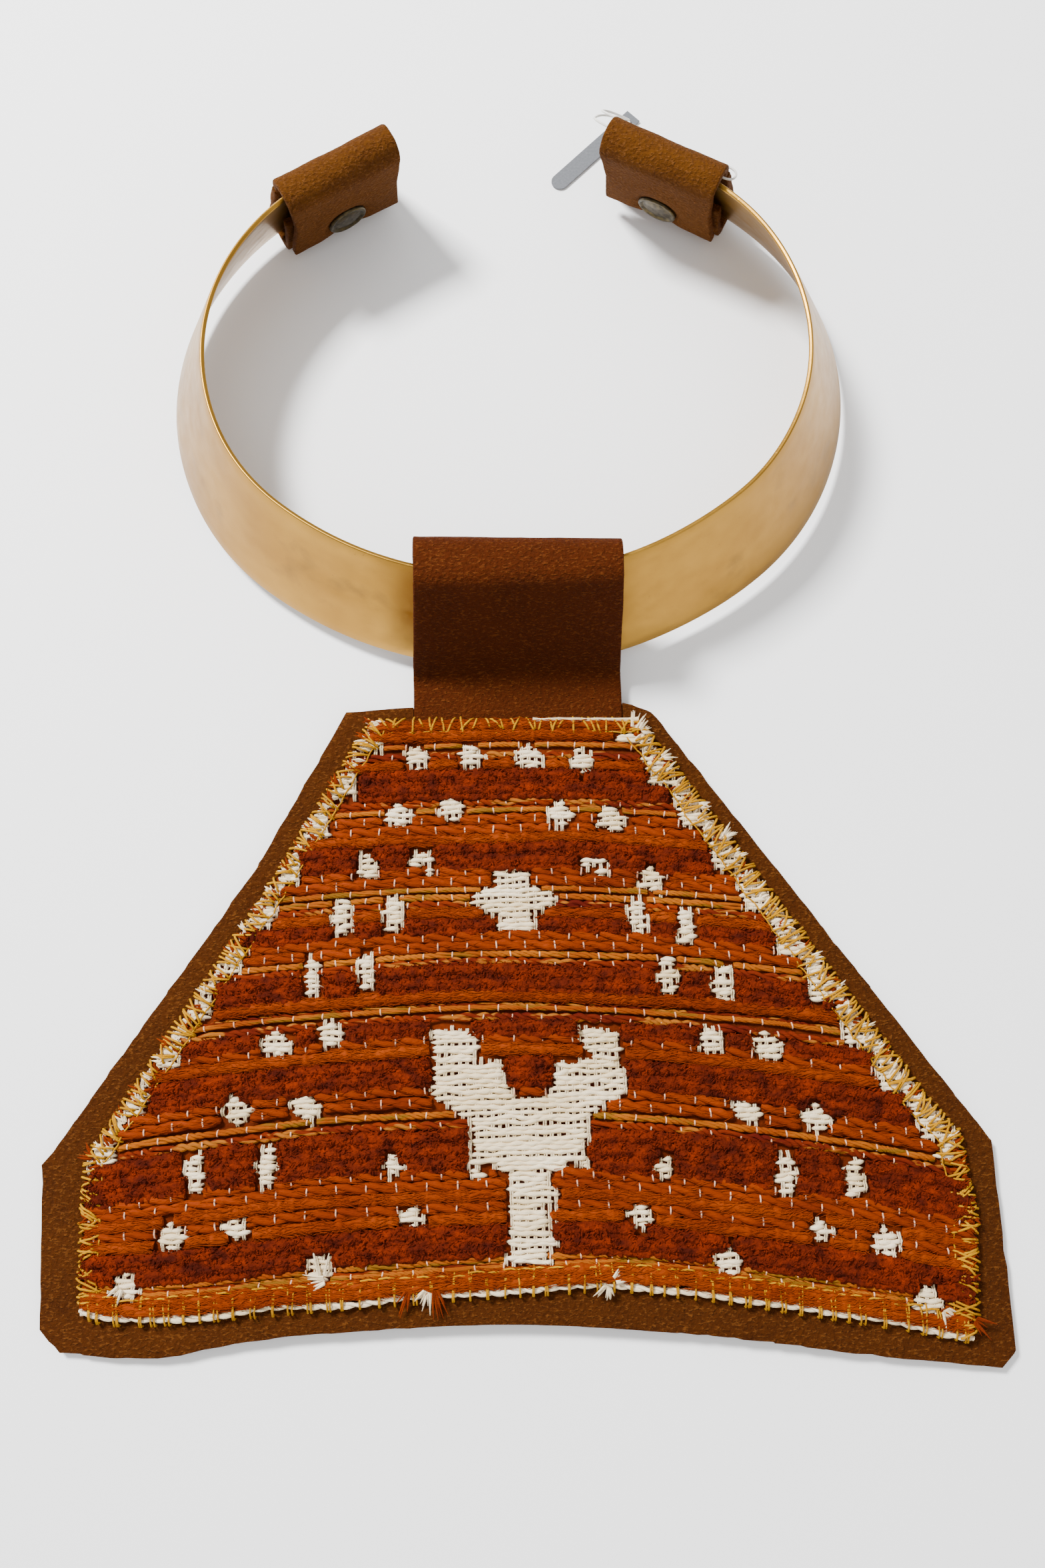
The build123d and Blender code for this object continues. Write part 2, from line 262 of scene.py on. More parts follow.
@dataclass(frozen=True)
class BandFinish:
    """Satin brass with faint sheet grain, fine scratches and a few tarnished smudges."""

    name: str = "satin_brass"
    pale: str = "AA8034"
    warm: str = "8E6624"
    tarnish: str = "5A4426"

    def build(self) -> bpy.types.Material:
        """Makes the material."""
        bench = NodeBench(self.name)
        drift = bench.ramp(bench.noise((0.03, 0.03, 0.05), 3.0), 0.3, 0.7)
        tone = bench.mix(drift, colour(self.pale), colour(self.warm))
        smudge = bench.ramp(bench.noise((0.1, 0.1, 0.14), 6.0), 0.58, 0.78)
        pin = bench.ramp(bench.noise((1.1, 1.1, 1.1), 2.0), 0.72, 0.8)
        marked = bench.mix(bench.blend_values(smudge, 0.0, 0.45), tone, colour(self.tarnish))
        bench.drive("Base Color", bench.mix(bench.blend_values(pin, 0.0, 0.4), marked, colour(self.tarnish)))
        cloud = bench.noise((0.25, 0.25, 0.4), 4.0)
        bench.drive("Roughness", bench.blend_values(cloud, 0.24, 0.46))
        bench.set(metallic=1.0)
        for turn, scale in ((18.0, (0.12, 5.0, 2.0)), (-37.0, (0.15, 6.0, 2.4)), (71.0, (0.1, 4.4, 1.8))):
            lines = bench.ramp(bench.noise(scale, 2.0, turn), 0.66, 0.72)
            bench.bump(lines, 0.012, 0.5)
        bench.bump(bench.noise((0.05, 0.05, 0.05), 1.0), 0.35, 0.3)
        return bench.material


@dataclass(frozen=True)
class SnapFinish:
    """Antiqued brass of the snaps: dark in the hollows, rubbed bright on high spots."""

    name: str = "antique_brass"
    bright: str = "54482C"
    dark: str = "201C15"

    def build(self) -> bpy.types.Material:
        """Makes the material."""
        bench = NodeBench(self.name)
        worn = bench.ramp(bench.noise((0.9, 0.9, 1.0), 4.0), 0.3, 0.75)
        bench.drive("Base Color", bench.mix(worn, colour(self.dark), colour(self.bright)))
        bench.drive("Roughness", bench.blend_values(worn, 0.5, 0.32))
        bench.set(metallic=0.9)
        bench.bump(bench.noise((1.8, 1.8, 1.8), 3.0), 0.03, 0.5)
        return bench.material


@dataclass(frozen=True)
class YarnFinish:
    """Dyed or natural yarn, with colour drift along it and fibre streaks."""

    name: str
    dark: str
    light: str
    accent: str | None = None
    drift: Point = (0.07, 0.22, 0.1)
    fibre: Point = (0.9, 4.2, 4.2)
    sheen: float = 0.0
    relief: float = 0.12

    def build(self) -> bpy.types.Material:
        """Makes the material."""
        bench = NodeBench(self.name)
        slow = bench.ramp(bench.noise(self.drift, 3.0), 0.3, 0.7)
        streak = bench.ramp(bench.noise(self.fibre, 3.0), 0.28, 0.72)
        tone = bench.mix(slow, colour(self.dark), colour(self.light))
        shade = bench.mix(bench.blend_values(streak, 0.55, 0.0), tone, colour(self.dark))
        if self.accent:
            patch = bench.ramp(bench.noise((0.11, 0.7, 0.5), 2.0), 0.54, 0.6)
            shade = bench.mix(bench.blend_values(patch, 0.0, 0.75), shade, colour(self.accent))
        bench.drive("Base Color", shade)
        bench.set(roughness=0.85, sheen_weight=self.sheen, sheen_roughness=0.4, specular_ior_level=0.08)
        bench.set(sheen_tint=colour(self.light))
        bench.bump(streak, self.relief, 0.8)
        return bench.material


@dataclass(frozen=True)
class PaperFinish:
    """Grey card, blank, with a faint tooth."""

    name: str = "tag_card"

    def build(self) -> bpy.types.Material:
        """Makes the material."""
        bench = NodeBench(self.name)
        tooth = bench.noise((2.0, 2.0, 2.0), 4.0)
        bench.drive("Base Color", bench.mix(tooth, colour("4C4E52"), colour("6C6E72")))
        bench.set(roughness=0.7)
        bench.bump(tooth, 0.03, 0.5)
        return bench.material


class Wardrobe:
    """Every finish of the necklace, made once."""

    def __init__(self) -> None:
        """Makes the materials."""
        self.band = BandFinish().build()
        self.snap = SnapFinish().build()
        self.paper = PaperFinish().build()
        self.sleeve = SuedeFinish("sleeve_suede", "3C1E05", "54300A", "724822").build()
        self.hanger = SuedeFinish("hanger_suede_nap", "321202", "441A03", "6C3A14").build()
        self.backing = SuedeFinish("backing_suede_nap", "301402", "442004", "74441A").build()
        self.chenille = YarnFinish(
            "chenille_rust", "380C02", "7A2402", drift=(0.3, 0.45, 0.45), fibre=(1.5, 1.5, 1.5), relief=0.35
        ).build()
        self.roving = YarnFinish("roving_orange", "6C2402", "8A3802").build()
        self.rope = YarnFinish("rope_orange", "621E02", "863202").build()
        self.fine = YarnFinish("fine_dark_red", "4A0E04", "802C04", accent="9A5C18").build()
        self.gold = YarnFinish("fine_gold", "7A3404", "A45E10", accent="64480E").build()
        self.cream = YarnFinish("cream_wool", "D2BC92", "F2E2C4", relief=0.1).build()
        self.tick = YarnFinish("warp_tie", "D29878", "E8C4A8").build()
        self.ground = YarnFinish("ground_cloth", "4A1802", "6A2602", fibre=(1.4, 1.4, 1.4)).build()
        self.yellow = YarnFinish("overlock_gold", "966400", "BC8604", fibre=(2.0, 2.0, 2.0)).build()
        self.thread = YarnFinish("white_cotton", "D8D4CC", "F0EEE8", fibre=(3.0, 3.0, 3.0)).build()


# ---------------------------------------------------------------- making meshes


def dressed(
    name: str, mesh: bpy.types.Mesh, material: bpy.types.Material, slot: Slot, crease: float = 50.0
) -> bpy.types.Object:
    """Turns a mesh in millimetres into a finished object at the origin, in metres.

    Args:
        name: the piece's name.
        mesh: its mesh, in millimetres in the shared frame.
        material: its finish.
        slot: the record's material slot; not used.
        crease: angle in degrees past which an edge stays sharp.

    Returns:
        The object.
    """
    mesh.name = name
    mesh.transform(Matrix.Scale(MM, 4))
    mesh.materials.clear()
    mesh.materials.append(material)
    mesh.polygons.foreach_set("use_smooth", [True] * len(mesh.polygons))
    mesh.set_sharp_from_angle(angle=math.radians(crease))
    obj = bpy.data.objects.new(name, mesh)
    bpy.context.scene.collection.objects.link(obj)
    LOG.info("%s: %d faces", name, len(mesh.polygons))
    return obj


def evaluated_mesh(obj: bpy.types.Object) -> bpy.types.Mesh:
    """The object's mesh with its modifiers applied; the object is removed.

    Args:
        obj: a mesh or curve object.

    Returns:
        The mesh.
    """
    if obj.name not in bpy.context.scene.collection.objects:
        bpy.context.scene.collection.objects.link(obj)
    graph = bpy.context.evaluated_depsgraph_get()
    mesh = bpy.data.meshes.new_from_object(obj.evaluated_get(graph), depsgraph=graph)
    bpy.data.objects.remove(obj)
    return mesh


def mesh_of(bm: bmesh.types.BMesh, name: str) -> bpy.types.Mesh:
    """Writes a bmesh to a new mesh and frees it."""
    mesh = bpy.data.meshes.new(name)
    bm.to_mesh(mesh)
    bm.free()
    return mesh


def with_walls(mesh: bpy.types.Mesh, thickness: float, rim: float, offset: float = 0.0) -> bpy.types.Mesh:
    """Gives a sheet its thickness and softens its cut edge.

    Args:
        mesh: the sheet, in millimetres.
        thickness: wall in millimetres.
        rim: rounding of the cut edge in millimetres.
        offset: -1 to 1, the side of the sheet that the wall is on.

    Returns:
        The closed mesh.
    """
    obj = bpy.data.objects.new("wall", mesh)
    wall = obj.modifiers.new("wall", "SOLIDIFY")
    wall.thickness = thickness
    wall.offset = offset
    wall.use_even_offset = True
    soften = obj.modifiers.new("soften", "BEVEL")
    soften.width = rim
    soften.segments = 2
    soften.profile = 0.5
    soften.limit_method = "ANGLE"
    soften.angle_limit = math.radians(60)
    return evaluated_mesh(obj)


def ruffle(mesh: bpy.types.Mesh, depth: float, size: float, seed: float = 0.0) -> None:
    """Moves each point a little, so that a cut or folded piece isn't machine perfect.

    Args:
        mesh: the mesh in millimetres.
        depth: the furthest a point moves, in millimetres.
        size: the distance over which the movement changes, in millimetres.
        seed: shifts the pattern.
    """
    shift = Vector((seed, seed * 0.7, -seed))
    for vertex in mesh.vertices:
        vertex.co += noise.noise_vector(vertex.co / size + shift) * depth


class Skein:
    """Collects strands of yarn and turns them into one mesh."""

    def __init__(self, sides: int = 1) -> None:
        """Starts an empty skein.

        Args:
            sides: bevel resolution; 0 gives four sides, 1 gives six and 2 gives eight.
        """
        self.curve = bpy.data.curves.new("skein", "CURVE")
        self.curve.dimensions = "3D"
        self.curve.bevel_depth = 1.0
        self.curve.bevel_resolution = sides
        self.curve.use_fill_caps = True

    def add(self, points: Sequence[Point], radii: float | Sequence[float]) -> None:
        """Adds one strand.

        Args:
            points: the strand's middle line in millimetres.
            radii: one radius, or one for each point, in millimetres.
        """
        spline = self.curve.splines.new("POLY")
        spline.points.add(len(points) - 1)
        spline.points.foreach_set("co", [v for p in points for v in (*p, 1.0)])
        sizes = [radii] * len(points) if isinstance(radii, (int, float)) else list(radii)
        spline.points.foreach_set("radius", sizes)

    def mesh(self) -> bpy.types.Mesh:
        """The strands as one mesh with closed ends."""
        mesh = evaluated_mesh(bpy.data.objects.new("skein", self.curve))
        bm = bmesh.new()
        bm.from_mesh(mesh)
        bmesh.ops.remove_doubles(bm, verts=bm.verts, dist=0.0005)
        bm.to_mesh(mesh)
        bm.free()
        return mesh


def lerp(a: float, b: float, share: float) -> float:
    """The value that share of the way from a to b."""
    return a + (b - a) * share


def resampled(points: Sequence[Flat], step: float) -> list[Flat]:
    """Evenly spaced points along straight runs.

    Args:
        points: the corners.
        step: spacing in millimetres.

    Returns:
        The points, both ends among them.
    """
    found = [points[0]]
    for (ax, ay), (bx, by) in zip(points, points[1:]):
        count = max(1, round(math.hypot(bx - ax, by - ay) / step))
        found += [(lerp(ax, bx, i / count), lerp(ay, by, i / count)) for i in range(1, count + 1)]
    return found


def smooth_line(points: Sequence[Flat], step: float) -> list[Flat]:
    """A smooth curve through the points, as a cut made by hand follows its marks.

    Args:
        points: the marks.
        step: spacing in millimetres.

    Returns:
        Points along the curve.
    """
    ends = [points[0], *points, points[-1]]
    found = [points[0]]
    for p0, p1, p2, p3 in zip(ends, ends[1:], ends[2:], ends[3:]):
        count = max(2, round(math.dist(p1, p2) / step))
        for i in range(1, count + 1):
            t = i / count
            found.append(
                tuple(
                    0.5
                    * (
                        2 * b
                        + (c - a) * t
                        + (2 * a - 5 * b + 4 * c - d) * t * t
                        + (3 * b - a - 3 * c + d) * t**3
                    )
                    for a, b, c, d in zip(p0, p1, p2, p3)
                )
            )
    return found


def spun(
    bm: bmesh.types.BMesh,
    edges: list[bmesh.types.BMEdge],
    centre: Sequence[float],
    axis: Sequence[float],
    angle: float,
    steps: int,
) -> list[bmesh.types.BMEdge]:
    """Spins an open line of edges on round an axis.

    Args:
        bm: the bmesh that it is in.
        edges: the line.
        centre: a point of the axis.
        axis: the axis.
        angle: how far, in radians.
        steps: faces along the arc.

    Returns:
        The line's edges where it ends.
    """
    verts = list(dict.fromkeys(v for e in edges for v in e.verts))
    made = bmesh.ops.spin(bm, geom=edges + verts, cent=centre, axis=axis, angle=angle, steps=steps)
    return [g for g in made["geom_last"] if isinstance(g, bmesh.types.BMEdge)]


def cut_sheet(outline: Sequence[Flat], cuts: Sequence[tuple[Point, float, float, float]]) -> bmesh.types.BMesh:
    """One flat face with an outline, cut into a mesh that can bend, facing up.

    Args:
        outline: the corners in order.
        cuts: for each direction of the cuts its normal, first place, last place and spacing.

    Returns:
        The bmesh, in millimetres.
    """
    bm = bmesh.new()
    bm.faces.new([bm.verts.new((x, y, 0)) for x, y in outline])
    for normal, low, high, step in cuts:
        for i in range(1, round((high - low) / step)):
            bmesh.ops.bisect_plane(
                bm,
                geom=list(bm.verts) + list(bm.edges) + list(bm.faces),
                plane_co=Vector(normal) * (low + step * i),
                plane_no=normal,
                dist=0.05,
            )
    bmesh.ops.recalc_face_normals(bm, faces=bm.faces)
    if sum(f.normal.z for f in bm.faces) < 0:
        bmesh.ops.reverse_faces(bm, faces=bm.faces)
    return bm


def on_pendant(
    name: str, mesh: bpy.types.Mesh, material: bpy.types.Material, slot: Slot
) -> bpy.types.Object:
    """Finishes a piece of yarn that moves with the pendant.

    Args:
        name: the piece's name.
        mesh: its mesh, in millimetres.
        material: its finish.
        slot: the record's material slot; passed on but not used.

    Returns:
        The object.
    """
    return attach(dressed(name, mesh, material, slot, crease=80), "pendant")


# ---------------------------------------------------------------- collar


@dataclass
class Collar:
    """The brass band and the shape that everything on it follows, in millimetres."""

    half_width: float = 62.0
    half_depth: float = 51.0
    arc_radius: float = 72.0
    height: float = 24.0
    flare_reach: float = 11.0
    thickness: float = 1.0
    lift: float = 3.0
    end_angle: float = 20.5
    side_axis: float = 17.05

    @property
    def top(self) -> float:
        """Height of the inner top edge."""
        return self.lift + self.height

    @property
    def axis_y(self) -> float:
        """Distance of the front arc's axis behind the origin."""
        return self.arc_radius - self.half_depth

    @property
    def flare(self) -> float:
        """Angle of the band from upright, in radians."""
        return math.atan2(self.flare_reach, self.height)

    def outside(self, offset: float, height: float) -> float:
        """Radius of a line parallel to the band.

        Args:
            offset: distance out from the band's inner face.
            height: height of the point.

        Returns:
            Distance from the arc's axis.
        """
        drop = self.top + offset * math.sin(self.flare) - height
        return self.arc_radius + offset * math.cos(self.flare) + drop * math.tan(self.flare)

    def section(self, bm: bmesh.types.BMesh) -> list[bmesh.types.BMEdge]:
        """Draws the band's section, with its softened edges, at the right-hand end.

        Args:
            bm: the bmesh to draw in.

        Returns:
            The section's edges.
        """
        angle = math.radians(90 - self.end_angle)
        out = self.thickness * math.cos(self.flare)
        up = self.thickness * math.sin(self.flare)
        corners = [
            (self.arc_radius, self.top),
            (self.arc_radius + self.flare_reach, self.lift),
            (self.arc_radius + self.flare_reach + out, self.lift + up),
            (self.arc_radius + out, self.top + up),
        ]
        verts = [bm.verts.new((r * math.cos(angle), r * math.sin(angle) - self.axis_y, z)) for r, z in corners]
        bm.faces.new(verts)
        bmesh.ops.bevel(
            bm, geom=verts, offset=0.3, segments=3, profile=0.5, affect="VERTICES", material=-1
        )
        bmesh.ops.delete(bm, geom=list(bm.faces), context="FACES_ONLY")
        long_edges = [e for e in bm.edges if e.calc_length() > self.height / 2]
        bmesh.ops.subdivide_edges(bm, edges=long_edges, cuts=11)
        return list(bm.edges)

    def build(self, wardrobe: Wardrobe) -> bpy.types.Object:
        """Spins the section round the five arcs of the oval.

        Args:
            wardrobe: the finishes.

        Returns:
            The band.
        """
        bm = bmesh.new()
        edges = self.section(bm)
        joint = math.degrees(math.atan2(self.side_axis, self.axis_y))
        arcs = [
            ((0, -self.axis_y, 0), joint - self.end_angle),
            ((self.side_axis, 0, 0), 180 - 2 * joint),
            ((0, self.axis_y, 0), 2 * joint),
            ((-self.side_axis, 0, 0), 180 - 2 * joint),
            ((0, -self.axis_y, 0), joint - self.end_angle),
        ]
        for centre, sweep in arcs:
            steps = max(6, round(sweep / 1.6))
            edges = spun(bm, edges, centre, (0, 0, -1), math.radians(sweep), steps)
        bmesh.ops.holes_fill(bm, edges=[e for e in bm.edges if e.is_boundary], sides=0)
        bmesh.ops.recalc_face_normals(bm, faces=bm.faces)
        mesh = mesh_of(bm, "band")
        ruffle(mesh, 0.16, 26.0, 3.0)
        band = dressed("brass_band", mesh, wardrobe.band, Slot.BRASS, crease=60)
        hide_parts("collar_band")
        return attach(band, "collar")


# ---------------------------------------------------------------- folded suede strips


@dataclass
class FoldedStrip:
    """A strip of suede that follows straight runs and rounded folds in one upright plane."""

    corners: Sequence[Flat]
    radii: Sequence[float]
    half_width: float
    cell: float = 1.5

    def sheet(self) -> bmesh.types.BMesh:
        """Extrudes and spins the strip's middle surface, with X across and (Y, Z) its plane.

        Returns:
            The bmesh, in millimetres.
        """
        bm = bmesh.new()
        start = Vector((0, *self.corners[0]))
        ends = [bm.verts.new(start + Vector((s * self.half_width, 0, 0))) for s in (-1, 1)]
        bmesh.ops.subdivide_edges(
            bm, edges=[bm.edges.new(ends)], cuts=round(2 * self.half_width / self.cell)
        )
        edges = list(bm.edges)
        spots = [Vector((0, y, z)) for y, z in self.corners]
        here = spots[0]
        for i in range(1, len(spots)):
            heading = (spots[i] - spots[i - 1]).normalized()
            if i == len(spots) - 1:
                edges = self.run(bm, edges, spots[i] - here)
                break
            after = (spots[i + 1] - spots[i]).normalized()
            turn = heading.angle(after)
            tangent = self.radii[i - 1] * math.tan(turn / 2)
            stop = spots[i] - heading * tangent
            edges = self.run(bm, edges, stop - here)
            axis = heading.cross(after).normalized()
            centre = stop + axis.cross(heading) * self.radii[i - 1]
            steps = max(4, round(turn * self.radii[i - 1] / 0.7))
            edges = spun(bm, edges, centre, axis, turn, steps)
            here = spots[i] + after * tangent
        bmesh.ops.remove_doubles(bm, verts=bm.verts, dist=0.001)
        bmesh.ops.recalc_face_normals(bm, faces=bm.faces)
        return bm

    def run(
        self, bm: bmesh.types.BMesh, edges: list[bmesh.types.BMEdge], way: Vector
    ) -> list[bmesh.types.BMEdge]:
        """Extrudes the strip's end straight on.

        Args:
            bm: the strip so far.
            edges: its open end.
            way: how far and in which direction.

        Returns:
            The new open end.
        """
        if way.length < 0.01:
            return edges
        count = max(1, round(way.length / self.cell))
        for _ in range(count):
            made = bmesh.ops.extrude_edge_only(bm, edges=edges)["geom"]
            bmesh.ops.translate(
                bm, verts=[g for g in made if isinstance(g, bmesh.types.BMVert)], vec=way / count
            )
            edges = [g for g in made if isinstance(g, bmesh.types.BMEdge)]
        return edges


@dataclass
class Sleeve:
    """Suede sleeve on one end of the band: a wrap, a front flap and its snap."""

    collar: Collar
    side: Side
    angle: float = 29.0
    length: float = 27.0
    suede: float = 1.8
    lean: float = 16.0
    flap_gap: float = 1.4
    front_reach: float = 4.6
    flap_end: float = 5.0
    inner_top: float = 15.0
    roll_radius: float = 3.2
    fold_radius: float = 3.0
    snap_inset: float = 5.8
    back_gap: float = 1.0
    top_gap: float = 0.9
    seam: float = 23.0
    lap: float = 1.2
    thinning: float = 0.16

    @property
    def place(self) -> Matrix:
        """From the sleeve's own axes (X along the band, Y outwards) to the shared frame."""
        turn = Matrix.Rotation(math.radians(self.side.value * self.angle), 4, "Z")
        return Matrix.Translation((0, -self.collar.axis_y, 0)) @ turn

    @property
    def roll_height(self) -> float:
        """Height of the middle line over the band's top edge."""
        band_top = self.collar.top + self.collar.thickness * math.sin(self.collar.flare)
        return band_top + self.top_gap + self.suede / 2

    @property
    def back_line(self) -> float:
        """Offset of the back layer's middle line from the band's inner face."""
        return self.collar.thickness + self.back_gap + self.suede / 2

    def flap_line(self, height: float, behind: float = 0.0) -> float:
        """Distance out of the front flap's middle line.

        Args:
            height: the height to read it at.
            behind: distance of a line parallel to it.

        Returns:
            Distance from the arc's axis.
        """
        lean = math.radians(self.lean)
        start = self.collar.arc_radius - self.front_reach
        return start + (self.roll_height - height) * math.tan(lean) + behind / math.cos(lean)

    def snap_place(self) -> Matrix:
        """From the snap's own axes (Z out of the flap's face) to the shared frame."""
        lean = math.radians(self.lean)
        height = self.flap_end + self.snap_inset * math.cos(lean)
        outwards = Vector((0, -math.cos(lean), -math.sin(lean)))
        middle = Vector((0, self.flap_line(height), height)) + outwards * (self.suede / 2)
        across = Vector((1, 0, 0))
        turn = Matrix((across, outwards.cross(across), outwards)).transposed().to_4x4()
        return self.place @ Matrix.Translation(middle) @ turn

    def finished(self, bm: bmesh.types.BMesh, seed: float, lapped: bool = False) -> bpy.types.Mesh:
        """Thickens a sleeve piece, makes it uneven and puts it in place.

        Args:
            bm: its middle surface in the sleeve's own axes.
            seed: varies its unevenness.
            lapped: whether it is thinned where it goes in under the flap's piece.

        Returns:
            The mesh in the shared frame.
        """
        mesh = with_walls(mesh_of(bm, "sleeve"), self.suede, 0.35)
        for vertex in mesh.vertices:
            away = vertex.co.y - self.collar.outside(self.back_line, vertex.co.z)
            if lapped and vertex.co.z > self.seam - 0.5:
                vertex.co.y -= self.thinning * away
        ruffle(mesh, 0.22, 7.0, seed)
        ruffle(mesh, 0.06, 1.3, seed)
        mesh.transform(self.place)
        return mesh

    def wrap(self, wardrobe: Wardrobe) -> bpy.types.Object:
        """Back layer, bottom fold and inner flap, which stay on the band.

        Args:
            wardrobe: the finishes.

        Returns:
            The wrap.
        """
        behind = self.suede + self.flap_gap
        low = self.suede / 2
        start = self.seam + self.lap
        corners = [
            (self.collar.outside(self.back_line, start), start),
            (self.collar.outside(self.back_line, low), low),
            (self.flap_line(low, behind), low),
            (self.flap_line(self.inner_top, behind), self.inner_top),
        ]
        strip = FoldedStrip(corners, [self.fold_radius] * 2, self.length / 2)
        mesh = self.finished(strip.sheet(), 4.0, lapped=True)
        piece = dressed(f"{self.side.word}_sleeve_back", mesh, wardrobe.sleeve, Slot.SLEEVE)
        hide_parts(f"{self.side.word}_sleeve_wrap")
        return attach(piece, "collar")

    def flap(self, wardrobe: Wardrobe) -> bpy.types.Object:
        """Front flap with the rolled top that it swings on, dented round its snap.

        Args:
            wardrobe: the finishes.

        Returns:
            The flap.
        """
        top = self.roll_height
        corners = [
            (self.flap_line(self.flap_end), self.flap_end),
            (self.flap_line(top), top),
            (self.collar.outside(self.back_line, top), top),
            (self.collar.outside(self.back_line, self.seam), self.seam),
        ]
        strip = FoldedStrip(corners, [self.roll_radius] * 2, self.length / 2, cell=1.1)
        bm = strip.sheet()
        spot = self.place.inverted() @ self.snap_place() @ Vector((0, 0, 0))
        lean = math.radians(self.lean)
        inwards = Vector((0, math.cos(lean), math.sin(lean)))
        dent_depth, dent_radius = 0.55, 5.2
        ring_depth, ring_radius, ring_width = 0.3, 7.5, 2.2
        for vert in bm.verts:
            away = math.hypot(vert.co.x - spot.x, (vert.co.z - spot.z) / math.cos(lean))
            front = vert.co.y < self.collar.arc_radius + 3
            if front and vert.co.z < self.roll_height - 4:
                dent = dent_depth * math.exp(-((away / dent_radius) ** 4))
                ring = ring_depth * math.exp(-(((away - ring_radius) / ring_width) ** 2))
                vert.co += inwards * (dent - ring)
            share = vert.co.x / (self.length / 2)
            edge = max(0.0, 1 - (vert.co.z - self.flap_end) / 8)
            vert.co.z += edge * (0.6 + 0.45 * math.cos(share * math.pi))
            waist = max(0.0, 1 - abs(vert.co.z - 17) / 12)
            vert.co.x -= 0.9 * share**5 * waist
        mesh = self.finished(bm, 4.0)
        piece = dressed(f"{self.side.word}_sleeve_front", mesh, wardrobe.sleeve, Slot.SLEEVE)
        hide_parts(f"{self.side.word}_sleeve_flap")
        begin = self.place @ Vector((0, 71.2, 28.6)) * MM
        end = self.place @ Vector((0, 67.9, 25.4)) * MM
        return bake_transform(piece, "collar", f"{self.side.word}_flap", begin, end)

    def cap(self, wardrobe: Wardrobe) -> bpy.types.Object:
        """Snap cap: a rolled rim round a shallow, slightly dented dome, on its rivet.

        Args:
            wardrobe: the finishes.

        Returns:
            The cap.
        """
        profile = [
            (0, 0.42),
            (1.2, 0.46),
            (2.2, 0.44),
            (3.0, 0.3),
            (3.5, 0.12),
            (3.8, 0.18),
            (4.1, 0.48),
            (4.45, 0.56),
            (4.72, 0.42),
            (4.8, 0.1),
            (4.75, -0.28),
            (1.5, -0.3),
            (1.5, -1.3),
            (0, -1.3),
        ]
        bm = bmesh.new()
        verts = [bm.verts.new((r, 0, z)) for r, z in profile]
        edges = [bm.edges.new(pair) for pair in zip(verts, verts[1:])]
        bmesh.ops.spin(
            bm, geom=verts + edges, cent=(0, 0, 0), axis=(0, 0, 1), angle=math.tau, steps=48, use_merge=True
        )
        bmesh.ops.remove_doubles(bm, verts=bm.verts, dist=0.001)
        bmesh.ops.recalc_face_normals(bm, faces=bm.faces)
        for vert in bm.verts:
            vert.co.z += 0.08 * noise.noise(vert.co * 0.6 + Vector((self.side.value * 3, 0, 0)))
        mesh = mesh_of(bm, "cap")
        mesh.transform(self.snap_place() @ Matrix.Diagonal((0.96, 0.96, 1.0, 1.0)))
        piece = dressed(f"{self.side.word}_cap", mesh, wardrobe.snap, Slot.SNAP)
        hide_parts(f"{self.side.word}_snap_cap")
        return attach(piece, f"{self.side.word}_flap")

    def build(self, wardrobe: Wardrobe) -> None:
        """Makes the sleeve's pieces and dresses its CAD snap parts."""
        self.wrap(wardrobe)
        self.flap(wardrobe)
        self.cap(wardrobe)
        for part in ("socket", "stud", "post"):
            dress_node(f"{self.side.word}_snap_{part}", wardrobe.snap, Slot.SNAP)


def dress_node(node: str, material: bpy.types.Material, slot: Slot) -> bpy.types.Object:
    """Gives a CAD node that keeps its shape a finish.

    Args:
        node: its name.
        material: the finish.
        slot: the record's slot; not used.

    Returns:
        The node's object.
    """
    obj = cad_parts[node]
    obj.data.materials.clear()
    obj.data.materials.append(material)
    return obj


# ---------------------------------------------------------------- hanger


